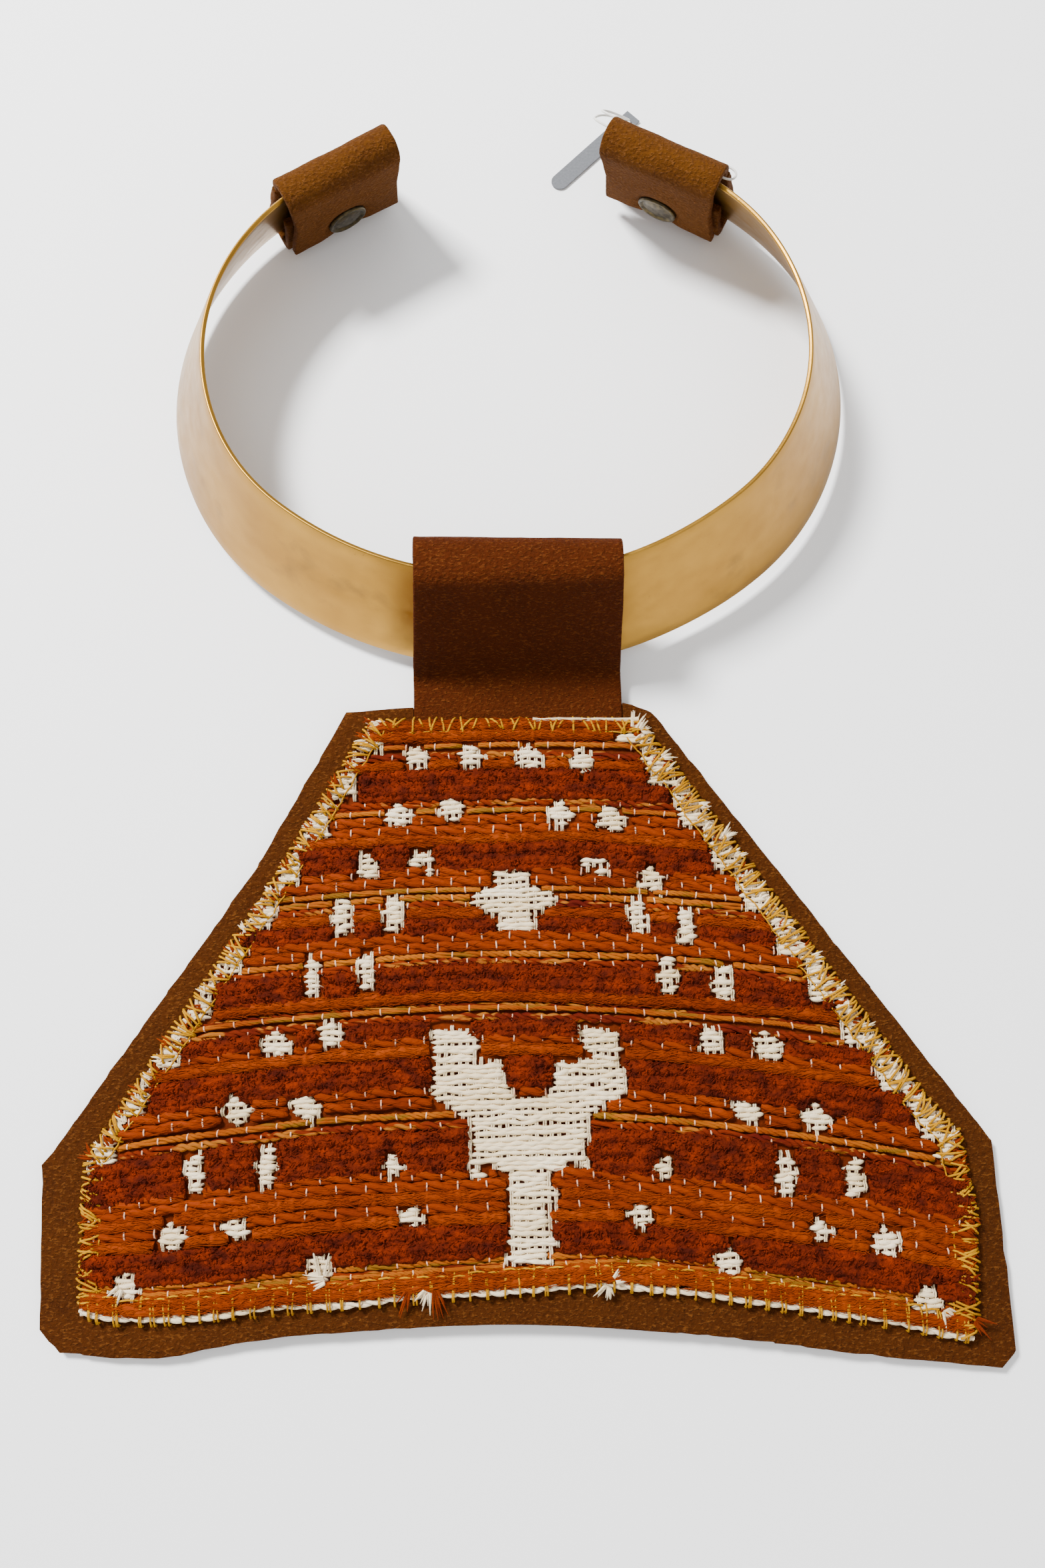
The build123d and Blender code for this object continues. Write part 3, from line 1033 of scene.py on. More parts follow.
@dataclass
class Hanger:
    """Suede strap over the front of the band, which bends into the pendant."""

    collar: Collar
    suede: float = 1.8
    top_half: float = 20.5
    neck_half: float = 22.0
    end_y: float = -76.4
    neck_line: float = 2.9
    back_lean: float = 18.0
    return_end: float = 89.276
    front_gap: float = 0.4
    top_gap: float = 0.9
    back_gap: float = 0.8
    folds: tuple[float, ...] = (4.0, 3.2, 3.2, 3.0)

    def corners(self) -> list[Flat]:
        """The strap's route in the collar's middle plane, as (Y, Z)."""
        collar = self.collar
        line = collar.thickness + self.front_gap + self.suede / 2
        top = collar.top + collar.thickness * math.sin(collar.flare) + self.top_gap + self.suede / 2
        bottom = self.suede / 2
        sag = collar.arc_radius - math.sqrt(collar.arc_radius**2 - self.neck_half**2)
        back = collar.arc_radius - sag - self.back_gap - self.suede / 2
        slope = math.tan(math.radians(self.back_lean))
        route = [
            (collar.axis_y - self.end_y, self.neck_line),
            (collar.outside(line, self.neck_line), self.neck_line),
            (collar.outside(line, top), top),
            (back + (collar.top - top) * slope, top),
            (back + (collar.top - bottom) * slope, bottom),
            (self.return_end, bottom),
        ]
        return [(collar.axis_y - x, z) for x, z in route]

    def build(self, wardrobe: Wardrobe) -> bpy.types.Object:
        """Makes the strap.

        Args:
            wardrobe: the finishes.

        Returns:
            The strap.
        """
        strip = FoldedStrip(self.corners(), self.folds, self.neck_half, cell=1.7)
        bm = strip.sheet()
        for vert in bm.verts:
            height = min(1.0, vert.co.z / 31)
            vert.co.x *= lerp(1.0, self.top_half / self.neck_half, height)
            slack = max(0.0, vert.co.z - 12) / 19
            if vert.co.y > -50.5:
                vert.co.y += slack * (2.4 - vert.co.x * 0.055)
            vert.co.x += lerp(-0.1, 1.1, height)
        mesh = with_walls(mesh_of(bm, "strap"), self.suede, 0.3)
        ruffle(mesh, 0.16, 9.0, 2.0)
        ruffle(mesh, 0.05, 1.2, 5.0)
        strap = dressed("hanger_strap", mesh, wardrobe.hanger, Slot.HANGER)
        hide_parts("hanger_loop")
        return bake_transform(strap)


# ---------------------------------------------------------------- pendant


@dataclass
class Pendant:
    """Backing and the surfaces that the cloth lies on, in millimetres."""

    half_width: float = 93.0
    rise: float = 2.0
    suede: float = 1.8
    tuck_y: float = -76.6
    notch: float = 21.95
    cell: float = 3.0
    left: tuple[Flat, ...] = (
        (-36.0, -71.5),
        (-54.5, -104.0),
        (-94.0, -159.0),
        (-96.0, -161.5),
        (-95.0, -192.0),
        (-91.0, -196.0),
    )
    bottom: tuple[Flat, ...] = (
        (-91.0, -196.0),
        (-72.5, -197.5),
        (-50.0, -194.5),
        (-5.0, -193.3),
        (37.0, -197.0),
        (60.0, -200.5),
        (87.5, -204.0),
    )
    right: tuple[Flat, ...] = ((87.5, -204.0), (90.5, -201.0), (90.0, -162.5), (28.0, -73.5), (25.0, -72.3))

    def arch(self, x: float) -> float:
        """Height of the backing's underside at a distance across."""
        radius = (self.half_width**2 + self.rise**2) / (2 * self.rise)
        return self.rise - radius + math.sqrt(radius**2 - x * x)

    def face(self, x: float) -> float:
        """Height of the backing's upper face at a distance across."""
        return self.arch(x) + self.suede

    def outline(self) -> list[Flat]:
        """The backing's cut edge, with a notch for the strap between its shoulders."""
        notch = self.notch
        edge = [(-notch, -71.0), *self.left, *smooth_line(self.bottom, 6.0)[1:-1], *self.right]
        return [*edge, (notch, -71.4), (notch, self.tuck_y), (-notch, self.tuck_y)]

    def backing(self, wardrobe: Wardrobe) -> bpy.types.Object:
        """The suede sheet: one face cut into a fine mesh, arched and thickened.

        Args:
            wardrobe: the finishes.

        Returns:
            The backing.
        """
        across, along = ((1, 0, 0), -96, 92, self.cell), ((0, 1, 0), -204, -72, self.cell)
        bm = cut_sheet(self.outline(), (across, along))
        for vert in bm.verts:
            x, y = vert.co.x, vert.co.y
            vert.co.z = self.arch(x)
            rough = noise.noise(Vector((x, y, 0)) * 0.9) * 0.35
            if vert.is_boundary and abs(x) > self.notch + 1.05:
                vert.co.x += rough
                vert.co.y += 0.8 * noise.noise(Vector((x, y, 5)) * 0.8) * 0.35
        mesh = with_walls(mesh_of(bm, "backing"), self.suede, 0.35, offset=1.0)
        ruffle(mesh, 0.05, 1.6, 8.0)
        piece = dressed("suede_backing", mesh, wardrobe.backing, Slot.BACKING)
        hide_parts("pendant_backing")
        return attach(piece, "pendant")


class Row(Enum):
    """Kinds of pattern weft, with the half height of a row in millimetres."""

    CHENILLE = 1.45
    ROVING = 0.95
    ROPE = 1.0
    FINE = 0.62
    GOLD = 0.66


ROWS: dict[Row, tuple[float, ...]] = {
    Row.CHENILLE: (
        *(-86.9, -89.7, -102.1, -104.6, -117.5, -127.0, -129.4, -138.0),
        *(-144.9, -147.5, -158.5, -161.2, -163.6, -176.3, -179.0),
    ),
    Row.ROVING: (-75.9, -78.0, -84.4, -100.0, -115.3, -131.6, -142.4, -169.6, -173.8, -184.0, -185.4),
    Row.ROPE: (-95.7, -97.9, -106.7, -108.6, -119.9, -121.8, -140.3, -150.1, -152.3, -165.6, -167.6, -171.6),
    Row.FINE: (-82.4, -92.2, -113.4, -125.1, -136.0, -156.4),
    Row.GOLD: (-80.2, -93.8, -110.3, -111.9, -123.6, -134.1, -154.6, -181.2, -182.7),
}


@dataclass(frozen=True)
class Motif:
    """A place where the pattern weft dives and the cream ground shows.

    Rows are (left, right) reaches from the centre, from the top down, one weft apart.
    """

    x: float
    y: float
    rows: tuple[Flat, ...]
    pitch: float = 1.0

    def spans(self) -> Iterator[tuple[float, float, float]]:
        """Gives each cream weft as its height on the cloth and its two ends."""
        for i, (left, right) in enumerate(self.rows):
            yield self.top - i * self.pitch, self.x + left, self.x + right

    @property
    def top(self) -> float:
        """Height on the cloth of the first weft."""
        return self.y + self.pitch * (len(self.rows) - 1) / 2

    def covers(self, x: float, y: float, half: float) -> bool:
        """Whether a pattern row of that half height dives here."""
        reach = half * 0.75 + self.pitch * 0.3
        first = max(0, math.ceil((self.top - y - reach) / self.pitch))
        last = min(len(self.rows) - 1, math.floor((self.top - y + reach) / self.pitch))
        return any(
            self.x + self.rows[i][0] - 0.25 < x < self.x + self.rows[i][1] + 0.25
            for i in range(first, last + 1)
        )


DIAMOND = ((-1.4, 0.8), (-2.6, 2.0), (-2.4, 2.9), (-2.9, 2.5), (-1.1, 1.6))
SEED = ((-1.0, 1.3), (-2.5, 1.7), (-2.0, 2.7), (-0.9, 1.2))
POST = ((-1.0, 1.5), (-1.9, 1.8), (-1.3, 1.2), (-2.1, 2.2), (-1.8, 1.3), (-1.2, 2.0), (-1.9, 1.4))
GATE = ((-2.6, 2.4), (-2.9, 2.8), (-2.2, -0.9), (0.2, 2.6), (0.4, 2.0))


@dataclass
class WovenPanel:
    """The woven cloth: ground sheet, pattern wefts, cream motifs, warp ties and edges."""

    pendant: Pendant
    seed: int = 7
    tie_pitch: float = 5.83
    warp_pitch: float = 1.45
    reach: float = 88.0
    lean: float = 0.034
    cloth: float = 0.6
    gap: float = 0.15
    left: tuple[Flat, ...] = ((-30.5, -74.0), (-51.5, -108.5), (-87.0, -161.0), (-87.0, -187.5))
    bottom: tuple[Flat, ...] = (
        (-87.0, -187.5),
        (-75.0, -189.2),
        (-39.5, -187.4),
        (2.0, -185.7),
        (22.0, -186.2),
        (61.5, -192.8),
        (82.5, -197.0),
    )
    right: tuple[Flat, ...] = ((82.5, -197.0), (84.8, -176.0), (83.0, -161.0), (77.0, -153.5), (25.0, -75.8))
    motifs: list[Motif] = field(default_factory=list)

    def __post_init__(self) -> None:
        """Lays out the edge line, the surface heights and the motifs."""
        self.random = random.Random(self.seed)
        self.low = self.pendant.suede + self.gap
        self.lower = smooth_line(self.bottom, 2.0)
        self.edge = [
            *resampled(self.left, 2.0),
            *self.lower[1:],
            *resampled(self.right, 2.0)[1:],
            *resampled((self.right[-1], self.left[0]), 2.0)[1:-1],
        ]
        self.chart()

    def chart(self) -> None:
        """Places the motifs: strings of small diamonds, a stepped star and a fork."""
        strings = (
            (
                DIAMOND,
                ((-20.9, -82.4), (-10.0, -82.5), (2.3, -83.0), (13.1, -84.0))
                + ((-25.2, -94.3), (-14.2, -93.3), (8.1, -95.1), (18.8, -96.6), (-31.6, -104.8), (26.4, -109.1))
                + ((-49.8, -139.8), (-38.7, -138.1), (36.4, -141.5), (47.4, -143.0))
                + ((-57.2, -152.3), (-44.2, -152.1), (42.3, -155.2), (55.8, -156.9))
                + ((-69.7, -175.4), (67.4, -180.4), (-78.2, -184.2), (74.4, -191.4))
                + ((-41.0, -181.9), (37.0, -182.9)),
            ),
            (GATE, ((-20.4, -104.8), (14.4, -106.3))),
            (
                POST,
                ((-36.8, -115.0), (-26.5, -114.5), (22.9, -116.9), (32.7, -119.1))
                + ((-42.9, -126.7), (-31.6, -126.1), (28.3, -128.8), (39.2, -130.6))
                + ((-65.3, -164.0), (-51.1, -163.0), (48.9, -167.6), (62.1, -168.8)),
            ),
            (SEED, ((-27.0, -163.5), (25.7, -165.6), (20.5, -174.3), (-23.1, -173.1), (-57.3, -174.4), (54.8, -178.0))),
        )
        for shape, places in strings:
            for x, y in places:
                size = self.random.uniform(0.9, 1.1)
                rows = tuple(
                    (left * size + self.random.uniform(-0.5, 0.6), right * size + self.random.uniform(-0.6, 0.5))
                    for left, right in shape
                )
                self.motifs.append(Motif(x, y, rows))
        first = 79
        for side, end, least in ((1, 166, 0.0), (-1, 164, 0.45)):
            rows = []
            for n in range(first, end):
                phase = (n % 9) / 9
                edge = self.edge_x(-n, side)
                reach = (3.4 + 4.2 * phase) if side > 0 else (2.0 + 4.0 * phase) if phase > least else 1.4
                reach += self.random.uniform(-0.4, 0.4)
                near, far = edge - side * 0.6, edge - side * reach
                rows.append((min(near, far), max(near, far)))
            self.motifs.append(Motif(0.0, (1 - first - end) / 2, tuple(rows)))
        star = [(-4.3, 3.2)] * 4 + [(-6.5, 5.2), (-8.2, 7.6), (-8.8, 8.7), (-7.8, 7.9), (-6.0, 5.6)]
        star += [(-3.2, 3.6), (-2.8, 3.6), (-3.6, 4.4), (-3.4, 3.9)]
        self.motifs.append(Motif(-1.9, -112.6, tuple(star)))
        arms = [(-19.3, -11.6), (-18.9, -10.0), (-18.9, -9.8), (-18.9, -9.6), (-19.0, -10.2), (-18.9, -10.4)]
        right_arm = [(10.1, 15.0), (10.6, 17.9), (10.6, 18.2), (11.0, 18.0), (11.8, 18.6), (12.4, 18.2)]
        self.motifs.append(Motif(0.0, -141.0, tuple(arms)))
        self.motifs.append(Motif(0.0, -141.6, tuple(right_arm)))
        self.motifs.append(Motif(0.0, -145.7, ((-8.3, -5.8), (-8.6, -5.6))))
        self.motifs.append(Motif(0.0, -146.3, ((5.6, 7.8), (5.2, 8.6))))
        body = [(-18.6, -10.6), (-19.0, -5.2), (-18.8, -5.0), (-19.2, -4.8), (-18.6, -5.0), (-19.4, -4.0)]
        self.motifs.append(Motif(0.0, -147.7, (*body, (-19.2, -3.4), (-18.8, -2.6))))
        body = [(9.4, 17.0), (5.0, 18.2), (4.6, 18.8), (4.8, 18.6), (4.6, 19.0), (3.8, 19.2)]
        self.motifs.append(Motif(0.0, -148.4, (*body, (3.6, 18.6), (2.8, 17.8))))
        chest = [(-16.2, 16.4), (-15.0, 14.6), (-14.2, 13.4), (-12.0, 11.8), (-11.8, 11.2)]
        chest += [(-11.6, 11.4), (-11.4, 11.0), (-11.8, 11.6), (-11.6, 10.6), (-11.4, 10.2), (-11.8, 10.0)]
        self.motifs.append(Motif(0.0, -157.6, (*chest, (-12.4, 10.4))))
        for left, right in ((-12.2, -10.0), (-6.9, 7.2), (9.4, 11.4)):
            self.motifs.append(Motif(0.0, -164.3, ((left, right), (left + 0.3, right - 0.2))))
        self.motifs.append(Motif(0.0, -166.2, ((-11.8, -9.0),)))
        stem = [(-4.6, 3.2), (-4.4, 2.6), (-4.8, 3.4), (-4.8, 4.6), (-4.4, 5.0), (-4.6, 4.2), (-4.8, 2.4)]
        stem += [(-4.4, 3.0), (-4.6, 2.8), (-4.2, 3.0), (-4.6, 2.6), (-4.8, 3.2), (-5.4, 4.8), (-4.8, 4.4)]
        stem += [(-4.4, 3.0), (-5.6, 2.2), (-5.0, 3.2)]
        self.motifs.append(Motif(0.0, -173.9, tuple(stem)))

    def height(self, x: float) -> float:
        """Height of the ground cloth's upper face."""
        return self.pendant.arch(x) + self.low + self.cloth

    def inside(self, x: float, y: float) -> bool:
        """Whether a point is on the cloth."""
        found = False
        for (ax, ay), (bx, by) in zip(self.edge, self.edge[1:] + self.edge[:1]):
            if (ay > y) != (by > y) and x < ax + (bx - ax) * (y - ay) / (by - ay):
                found = not found
        return found

    def line(self, y: float, x: float) -> float:
        """Where a weft that is at y in the middle lies at x: the wefts bow and lean a little."""
        wave = 0.5 * noise.noise(Vector((x * 0.04, y * 0.11, 1.0)))
        bowed = y - self.lean * x - 0.00105 * x * x + wave
        bowed -= 0.028 * max(0.0, x - 10) * min(1.0, max(0.0, (-110 - y) / 40))
        share = min(1.0, max(0.0, (-158 - y) / 26))
        return lerp(bowed, y + self.hem(x) + 185.9 + 0.4 * wave, share * share)

    def hem(self, x: float) -> float:
        """Height on the cloth of its lower edge at a distance across."""
        for (ax, ay), (bx, by) in zip(self.lower, self.lower[1:]):
            if ax <= x <= bx:
                return lerp(ay, by, (x - ax) / (bx - ax))
        return self.lower[0][1] if x < 0 else self.lower[-1][1]

    def runs(self, y: float, half: float, step: float, breaks: bool = True) -> list[list[Flat]]:
        """The stretches of a weft that show, from edge to edge and between motifs.

        Args:
            y: the weft's place in the middle.
            half: half its height.
            step: spacing of the points.
            breaks: whether motifs interrupt it.

        Returns:
            Lists of points on the cloth.
        """
        found: list[list[Flat]] = []
        here: list[Flat] = []
        x = -self.reach
        while x < self.reach:
            at = self.line(y, x)
            shown = self.inside(x, at)
            if shown and breaks:
                shown = not any(m.covers(x, at, half) for m in self.near(at))
            if shown:
                here.append((x, at))
            elif here:
                found.append(here)
                here = []
            x += step
        found.append(here)
        return [run for run in found if len(run) * step > 1.4]

    def near(self, y: float) -> list[Motif]:
        """The motifs that reach a height on the cloth."""
        return [m for m in self.motifs if abs(m.y - y) < m.pitch * len(m.rows) / 2 + 3]

    def pinch(self, x: float, index: int) -> float:
        """How far the warp ties let a weft swell: 0 at a tie and 1 between two."""
        phase = (x / self.tie_pitch + 0.5 * (index % 2)) % 1.0
        return min(1.0, 1.25 * math.sin(math.pi * phase) ** 0.7)

    def puffed(self, skein: Skein, run: list[Flat], index: int, radius: float, lift: float) -> None:
        """Lays a thick two-ply weft whose plies come up in turn between its ties.

        Args:
            skein: where it goes.
            run: its points on the cloth.
            index: the row's number, which shifts its ties.
            radius: radius of a ply between ties.
            lift: height of its middle line over the ground.
        """
        last = len(run) - 1
        for k in (0, 1):
            points, radii = [], []
            for i, (x, y) in enumerate(run):
                swell = self.pinch(x, index)
                angle = math.pi * (x / self.tie_pitch + 0.5 * (index % 2) + k)
                end = min(1.0, (min(i, last - i) + 0.6) / 3)
                spot = Vector((x * 0.5, y, index + k))
                aside = radius * 0.72 * math.cos(angle) + 0.12 * noise.noise(spot)
                rise = lift * lerp(0.6, 1, end) + radius * 0.5 * math.sin(angle) - 0.16 * (1 - swell)
                points.append((x, y + aside, self.height(x) + rise))
                fat = radius * lerp(0.78, 1.0, swell) * (1 + 0.16 * noise.noise(spot)) * lerp(0.5, 1, end)
                radii.append(fat)
            skein.add(points, radii)

    def ply(
        self, skein: Skein, run: list[Flat], index: int, plies: int, radius: float, turn: float, lift: float
    ) -> None:
        """Lays a plied weft.

        Args:
            skein: where the strands go.
            run: its points on the cloth.
            index: the row's number, which shifts its ties.
            plies: strands in it.
            radius: radius of a strand.
            turn: length of one full twist.
            lift: height of its middle line over the ground.
        """
        start = self.random.random() * math.tau
        last = len(run) - 1
        for k in range(plies):
            points, radii = [], []
            for i, (x, y) in enumerate(run):
                swell = self.pinch(x, index)
                drift = 0.9 * noise.noise(Vector((x * 0.08, y, 3.0)))
                angle = start + math.tau * (x / turn + k / plies + drift)
                dive = 0.55 * lift * (math.exp(-i / 1.5) + math.exp(-(last - i) / 1.5))
                away = radius * (0.9 + 0.5 * noise.noise(Vector((x * 0.2, y, k))))
                z = self.height(x) + lift * lerp(0.62, 1.0, swell) - dive
                points.append((x, y + away * math.cos(angle), z + away * 0.75 * math.sin(angle)))
                radii.append(radius * (1 + 0.16 * noise.noise(Vector((x, y, k)) * 1.3)))
            skein.add(points, radii)

    def soft(self, skein: Skein, run: list[Flat], radius: float, lump: float, lift: float, index: int) -> None:
        """Lays a single soft weft, whose thickness varies.

        Args:
            skein: where it goes.
            run: its points on the cloth.
            radius: its usual radius.
            lump: share by which the radius varies.
            lift: height of its middle line over the ground.
            index: the row's number.
        """
        points, radii = [], []
        last = len(run) - 1
        for i, (x, y) in enumerate(run):
            spot = Vector((x * 0.9, y, index))
            swell = 1 + lump * noise.noise(spot) + 0.6 * lump * noise.noise(spot * 2.3)
            end = min(1.0, (min(i, last - i) + 1) / 4)
            points.append((x, y + 0.25 * noise.noise(spot * 0.7), self.height(x) + lift * lerp(0.6, 1, end)))
            radii.append(radius * swell * lerp(0.6, 1.0, end))
        skein.add(points, radii)

    def pile(self, skein: Skein, run: list[Flat], radius: float, lift: float, density: float) -> None:
        """Sets the short cut pile of a chenille weft.

        Args:
            skein: where the tufts go.
            run: the weft's points on the cloth.
            radius: the weft's radius.
            lift: height of its middle line over the ground.
            density: tufts per millimetre.
        """
        length = run[-1][0] - run[0][0]
        for _ in range(round(length * density)):
            x, y = run[self.random.randrange(len(run))]
            angle = self.random.uniform(-0.1, math.pi + 0.1)
            out = Vector((0, math.cos(angle), math.sin(angle)))
            base = Vector((x + self.random.uniform(-0.25, 0.25), y, self.height(x) + lift)) + out * radius * 0.92
            along = Vector((self.random.uniform(-1, 1), -out.z * self.random.uniform(-1, 1), 0)) * 0.75
            tip = base + out * self.random.uniform(0.05, 0.5) + along
            skein.add([tuple(base), tuple(tip)], [self.random.uniform(0.16, 0.3), 0.1])

    def hairs(self, skein: Skein, run: list[Flat], radius: float, lift: float, density: float) -> None:
        """Lays the loose fibres along a roving weft.

        Args:
            skein: where the fibres go.
            run: the weft's points on the cloth.
            radius: the weft's radius.
            lift: height of its middle line over the ground.
            density: fibres per millimetre.
        """
        length = run[-1][0] - run[0][0]
        for _ in range(round(length * density)):
            x, y = run[self.random.randrange(len(run))]
            angle = self.random.uniform(0.1, math.pi - 0.1)
            reach = self.random.uniform(1.4, 4.2)
            climb = self.random.uniform(-0.9, 0.9)
            points = []
            for share in (-0.5, 0.0, 0.5):
                wander = angle + share * self.random.uniform(-0.9, 0.9)
                at = min(max(x + share * reach, run[0][0]), run[-1][0])
                away = radius * (1.0 + 0.12 * self.random.random())
                z = self.height(at) + lift + away * math.sin(wander)
                points.append((at, y - (at - x) * self.lean + away * math.cos(wander) + climb * share, z + 0.05))
            skein.add(points, [0.04, 0.085, 0.04])

    def ties(self, skein: Skein, y: float, half: float, index: int, top: float) -> None:
        """Sets the warp ends that hold a pattern weft down, staggered from row to row.

        Args:
            skein: where they go.
            y: the row's place in the middle.
            half: its half height.
            index: its number.
            top: height of the yarn's back over the ground at a tie.
        """
        count = round(self.reach / self.tie_pitch) + 1
        for n in range(-count, count):
            x = (n - 0.5 * (index % 2)) * self.tie_pitch + self.random.uniform(-0.2, 0.2)
            at = self.line(y, x)
            if not self.inside(x - 1.5, at) or not self.inside(x + 1.5, at):
                continue
            if any(m.covers(x, at, half) for m in self.near(at)):
                continue
            rise = self.height(x)
            lean = self.random.uniform(-0.12, 0.12)
            arc = [(-1.0, -0.1), (-0.8, 0.75), (0.0, 1.0), (0.8, 0.75), (1.0, -0.1)]
            tall = half * self.random.uniform(0.72, 0.95)
            skein.add([(x + lean * a, at + tall * a, rise + top * b + 0.1) for a, b in arc], 0.16)

    def wefts(self, wardrobe: Wardrobe) -> None:
        """Lays every pattern weft and its ties.

        Args:
            wardrobe: the finishes.
        """
        skeins = {"chenille": Skein(3), "roving": Skein(3), "rope": Skein(2)}
        skeins |= {name: Skein(1) for name in ("fine", "gold", "tie")}
        skeins |= {name: Skein(0) for name in ("pile", "fibre")}
        rows = [(y, kind) for kind, places in ROWS.items() for y in places]
        for index, (y, kind) in enumerate(sorted(rows, key=lambda row: -row[0])):
            half = kind.value
            for run in self.runs(y, half, 0.45):
                if kind is Row.CHENILLE:
                    self.soft(skeins["chenille"], run, 1.4, 0.2, 0.7, index)
                    self.soft(skeins["chenille"], [(x, y - 1.3) for x, y in run], 1.0, 0.4, 0.75, index + 60)
                    self.pile(skeins["pile"], run, 1.45, 0.75, 9.5)
                elif kind is Row.ROVING:
                    self.soft(skeins["roving"], run, 1.15, 0.35, 0.65, index)
                    self.hairs(skeins["fibre"], run, 1.2, 0.7, 5.5)
                elif kind is Row.ROPE:
                    self.puffed(skeins["rope"], run, index, 0.76, 0.75)
                    self.hairs(skeins["fibre"], run, 1.0, 0.75, 1.2)
                elif kind is Row.FINE:
                    self.ply(skeins["fine"], run, index, 2, 0.5, 5.6, 0.7)
                elif index % 2:
                    self.ply(skeins["gold"], run, index, 3, 0.38, 6.4, 0.75)
                else:
                    self.ply(skeins["gold"], run, index, 4, 0.3, 7.0, 0.8)
                    self.ply(skeins["fine"], [(x, y + 0.5) for x, y in run], index, 2, 0.34, 6.0, 0.4)
            if kind in (Row.ROPE, Row.FINE, Row.GOLD):
                self.ties(skeins["tie"], y, half, index, 1.4 if kind is Row.ROPE else 1.05)
        dress = {
            "chenille": wardrobe.chenille,
            "pile": wardrobe.chenille,
            "roving": wardrobe.roving,
            "fibre": wardrobe.roving,
            "rope": wardrobe.rope,
            "fine": wardrobe.fine,
            "gold": wardrobe.gold,
            "tie": wardrobe.tick,
        }
        for name, skein in skeins.items():
            mesh = skein.mesh()
            if name == "chenille":
                ruffle(mesh, 0.5, 0.8, 1.0)
            if name in ("roving", "rope"):
                ruffle(mesh, 0.14, 1.1, 2.0)
            on_pendant(f"weft_{name}", mesh, dress[name], Slot.WOVEN)

    def cream(self, wardrobe: Wardrobe) -> None:
        """Weaves the cream ground that shows in the motifs and along the two slanted edges.

        Args:
            wardrobe: the finishes.
        """
        skein = Skein(1)
        warps = Skein(0)
        for motif in self.motifs:
            spans = list(motif.spans())
            for n, (y, left, right) in enumerate(spans):
                self.cream_weft(skein, y, left, right, n)
            first, last = min(s[1] for s in spans), max(s[2] for s in spans)
            for c in range(round((last - first) / self.warp_pitch) + 1):
                x = first + c * self.warp_pitch + self.random.uniform(-0.15, 0.15)
                held = [y for y, left, right in spans if left - 0.1 < x < right + 0.1]
                if not held:
                    continue
                top, low = max(held) + 0.6, min(held) - 0.6
                if self.random.random() < 0.45:
                    top += self.random.uniform(0.3, 1.2)
                if self.random.random() < 0.6:
                    low -= self.random.uniform(0.4, 1.5)
                for aside in (-0.2, 0.2):
                    self.warp(warps, x + aside, top, low)
        on_pendant("ground_wefts", skein.mesh(), wardrobe.cream, Slot.WOVEN)
        on_pendant("ground_warps", warps.mesh(), wardrobe.cream, Slot.WOVEN)

    def edge_x(self, y: float, side: int) -> float | None:
        """Where the cloth's left or right cut edge is at a height, if it is there."""
        line = self.right if side > 0 else self.left
        for (ax, ay), (bx, by) in zip(line, line[1:]):
            if min(ay, by) <= y <= max(ay, by) and ay != by:
                return ax + (bx - ax) * (y - ay) / (by - ay)
        return None

    def cream_weft(self, skein: Skein, y: float, left: float, right: float, row: int) -> None:
        """Lays one cream weft, over one warp and under the next.

        Args:
            skein: where it goes.
            y: its place on the cloth.
            left: its left end.
            right: its right end.
            row: its number, which alternates the weave.
        """
        left += self.random.uniform(-0.45, 0.35)
        right += self.random.uniform(-0.35, 0.45)
        count = max(3, round((right - left) / 0.36))
        points, radii = [], []
        shift = self.random.uniform(-0.2, 0.2)
        fat = self.random.uniform(0.82, 1.12)
        for i in range(count + 1):
            x = lerp(left, right, i / count)
            wave = math.cos(math.pi * (x / self.warp_pitch + row))
            end = min(1.0, min(i, count - i) / 2.5)
            z = self.height(x) + lerp(0.1, 0.85, end) + 0.12 * wave
            points.append((x, y + shift + 0.55 * noise.noise(Vector((x * 0.27, y * 1.7, 2))), z))
            swell = 1 + 0.07 * wave + 0.24 * noise.noise(Vector((x * 0.7, y, 0)))
            radii.append(0.5 * fat * lerp(0.4, 1.0, end) * swell)
        skein.add(points, radii)

    def warp(self, skein: Skein, x: float, top: float, low: float) -> None:
        """Lays one cream warp end down a motif.

        Args:
            skein: where it goes.
            x: its place across the cloth.
            top: its upper end.
            low: its lower end.
        """
        count = max(3, round((top - low) / 0.5))
        points = []
        for i in range(count + 1):
            y = lerp(top, low, i / count)
            end = min(1.0, min(i, count - i) / 1.5)
            z = self.height(x) + lerp(0.2, 0.85, end) + 0.3 * math.cos(math.pi * (y + x / self.warp_pitch))
            points.append((x + 0.1 * noise.noise(Vector((x, y, 7))), y, z))
        skein.add(points, 0.16)

    def ground(self, wardrobe: Wardrobe) -> bpy.types.Object:
        """The ground cloth under the wefts.

        Args:
            wardrobe: the finishes.

        Returns:
            The cloth.
        """
        bm = cut_sheet(self.edge, (((1, 0, 0), -self.reach, self.reach, 4.0),))
        area = sum(f.calc_area() for f in bm.faces)
        for vert in bm.verts:
            vert.co.z = self.pendant.arch(vert.co.x) + self.low
        mesh = with_walls(mesh_of(bm, "ground"), self.cloth, 0.15, offset=1.0)
        cloth = dressed("ground_cloth", mesh, wardrobe.ground, Slot.WOVEN)
        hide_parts("textile_panel")
        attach(cloth, "pendant")
        wide = max(x for x, _ in self.edge) - min(x for x, _ in self.edge)
        long = max(y for _, y in self.edge) - min(y for _, y in self.edge)
        LOG.info("cloth %.1f x %.1f mm, %.0f mm2", wide, long, area)
        return cloth


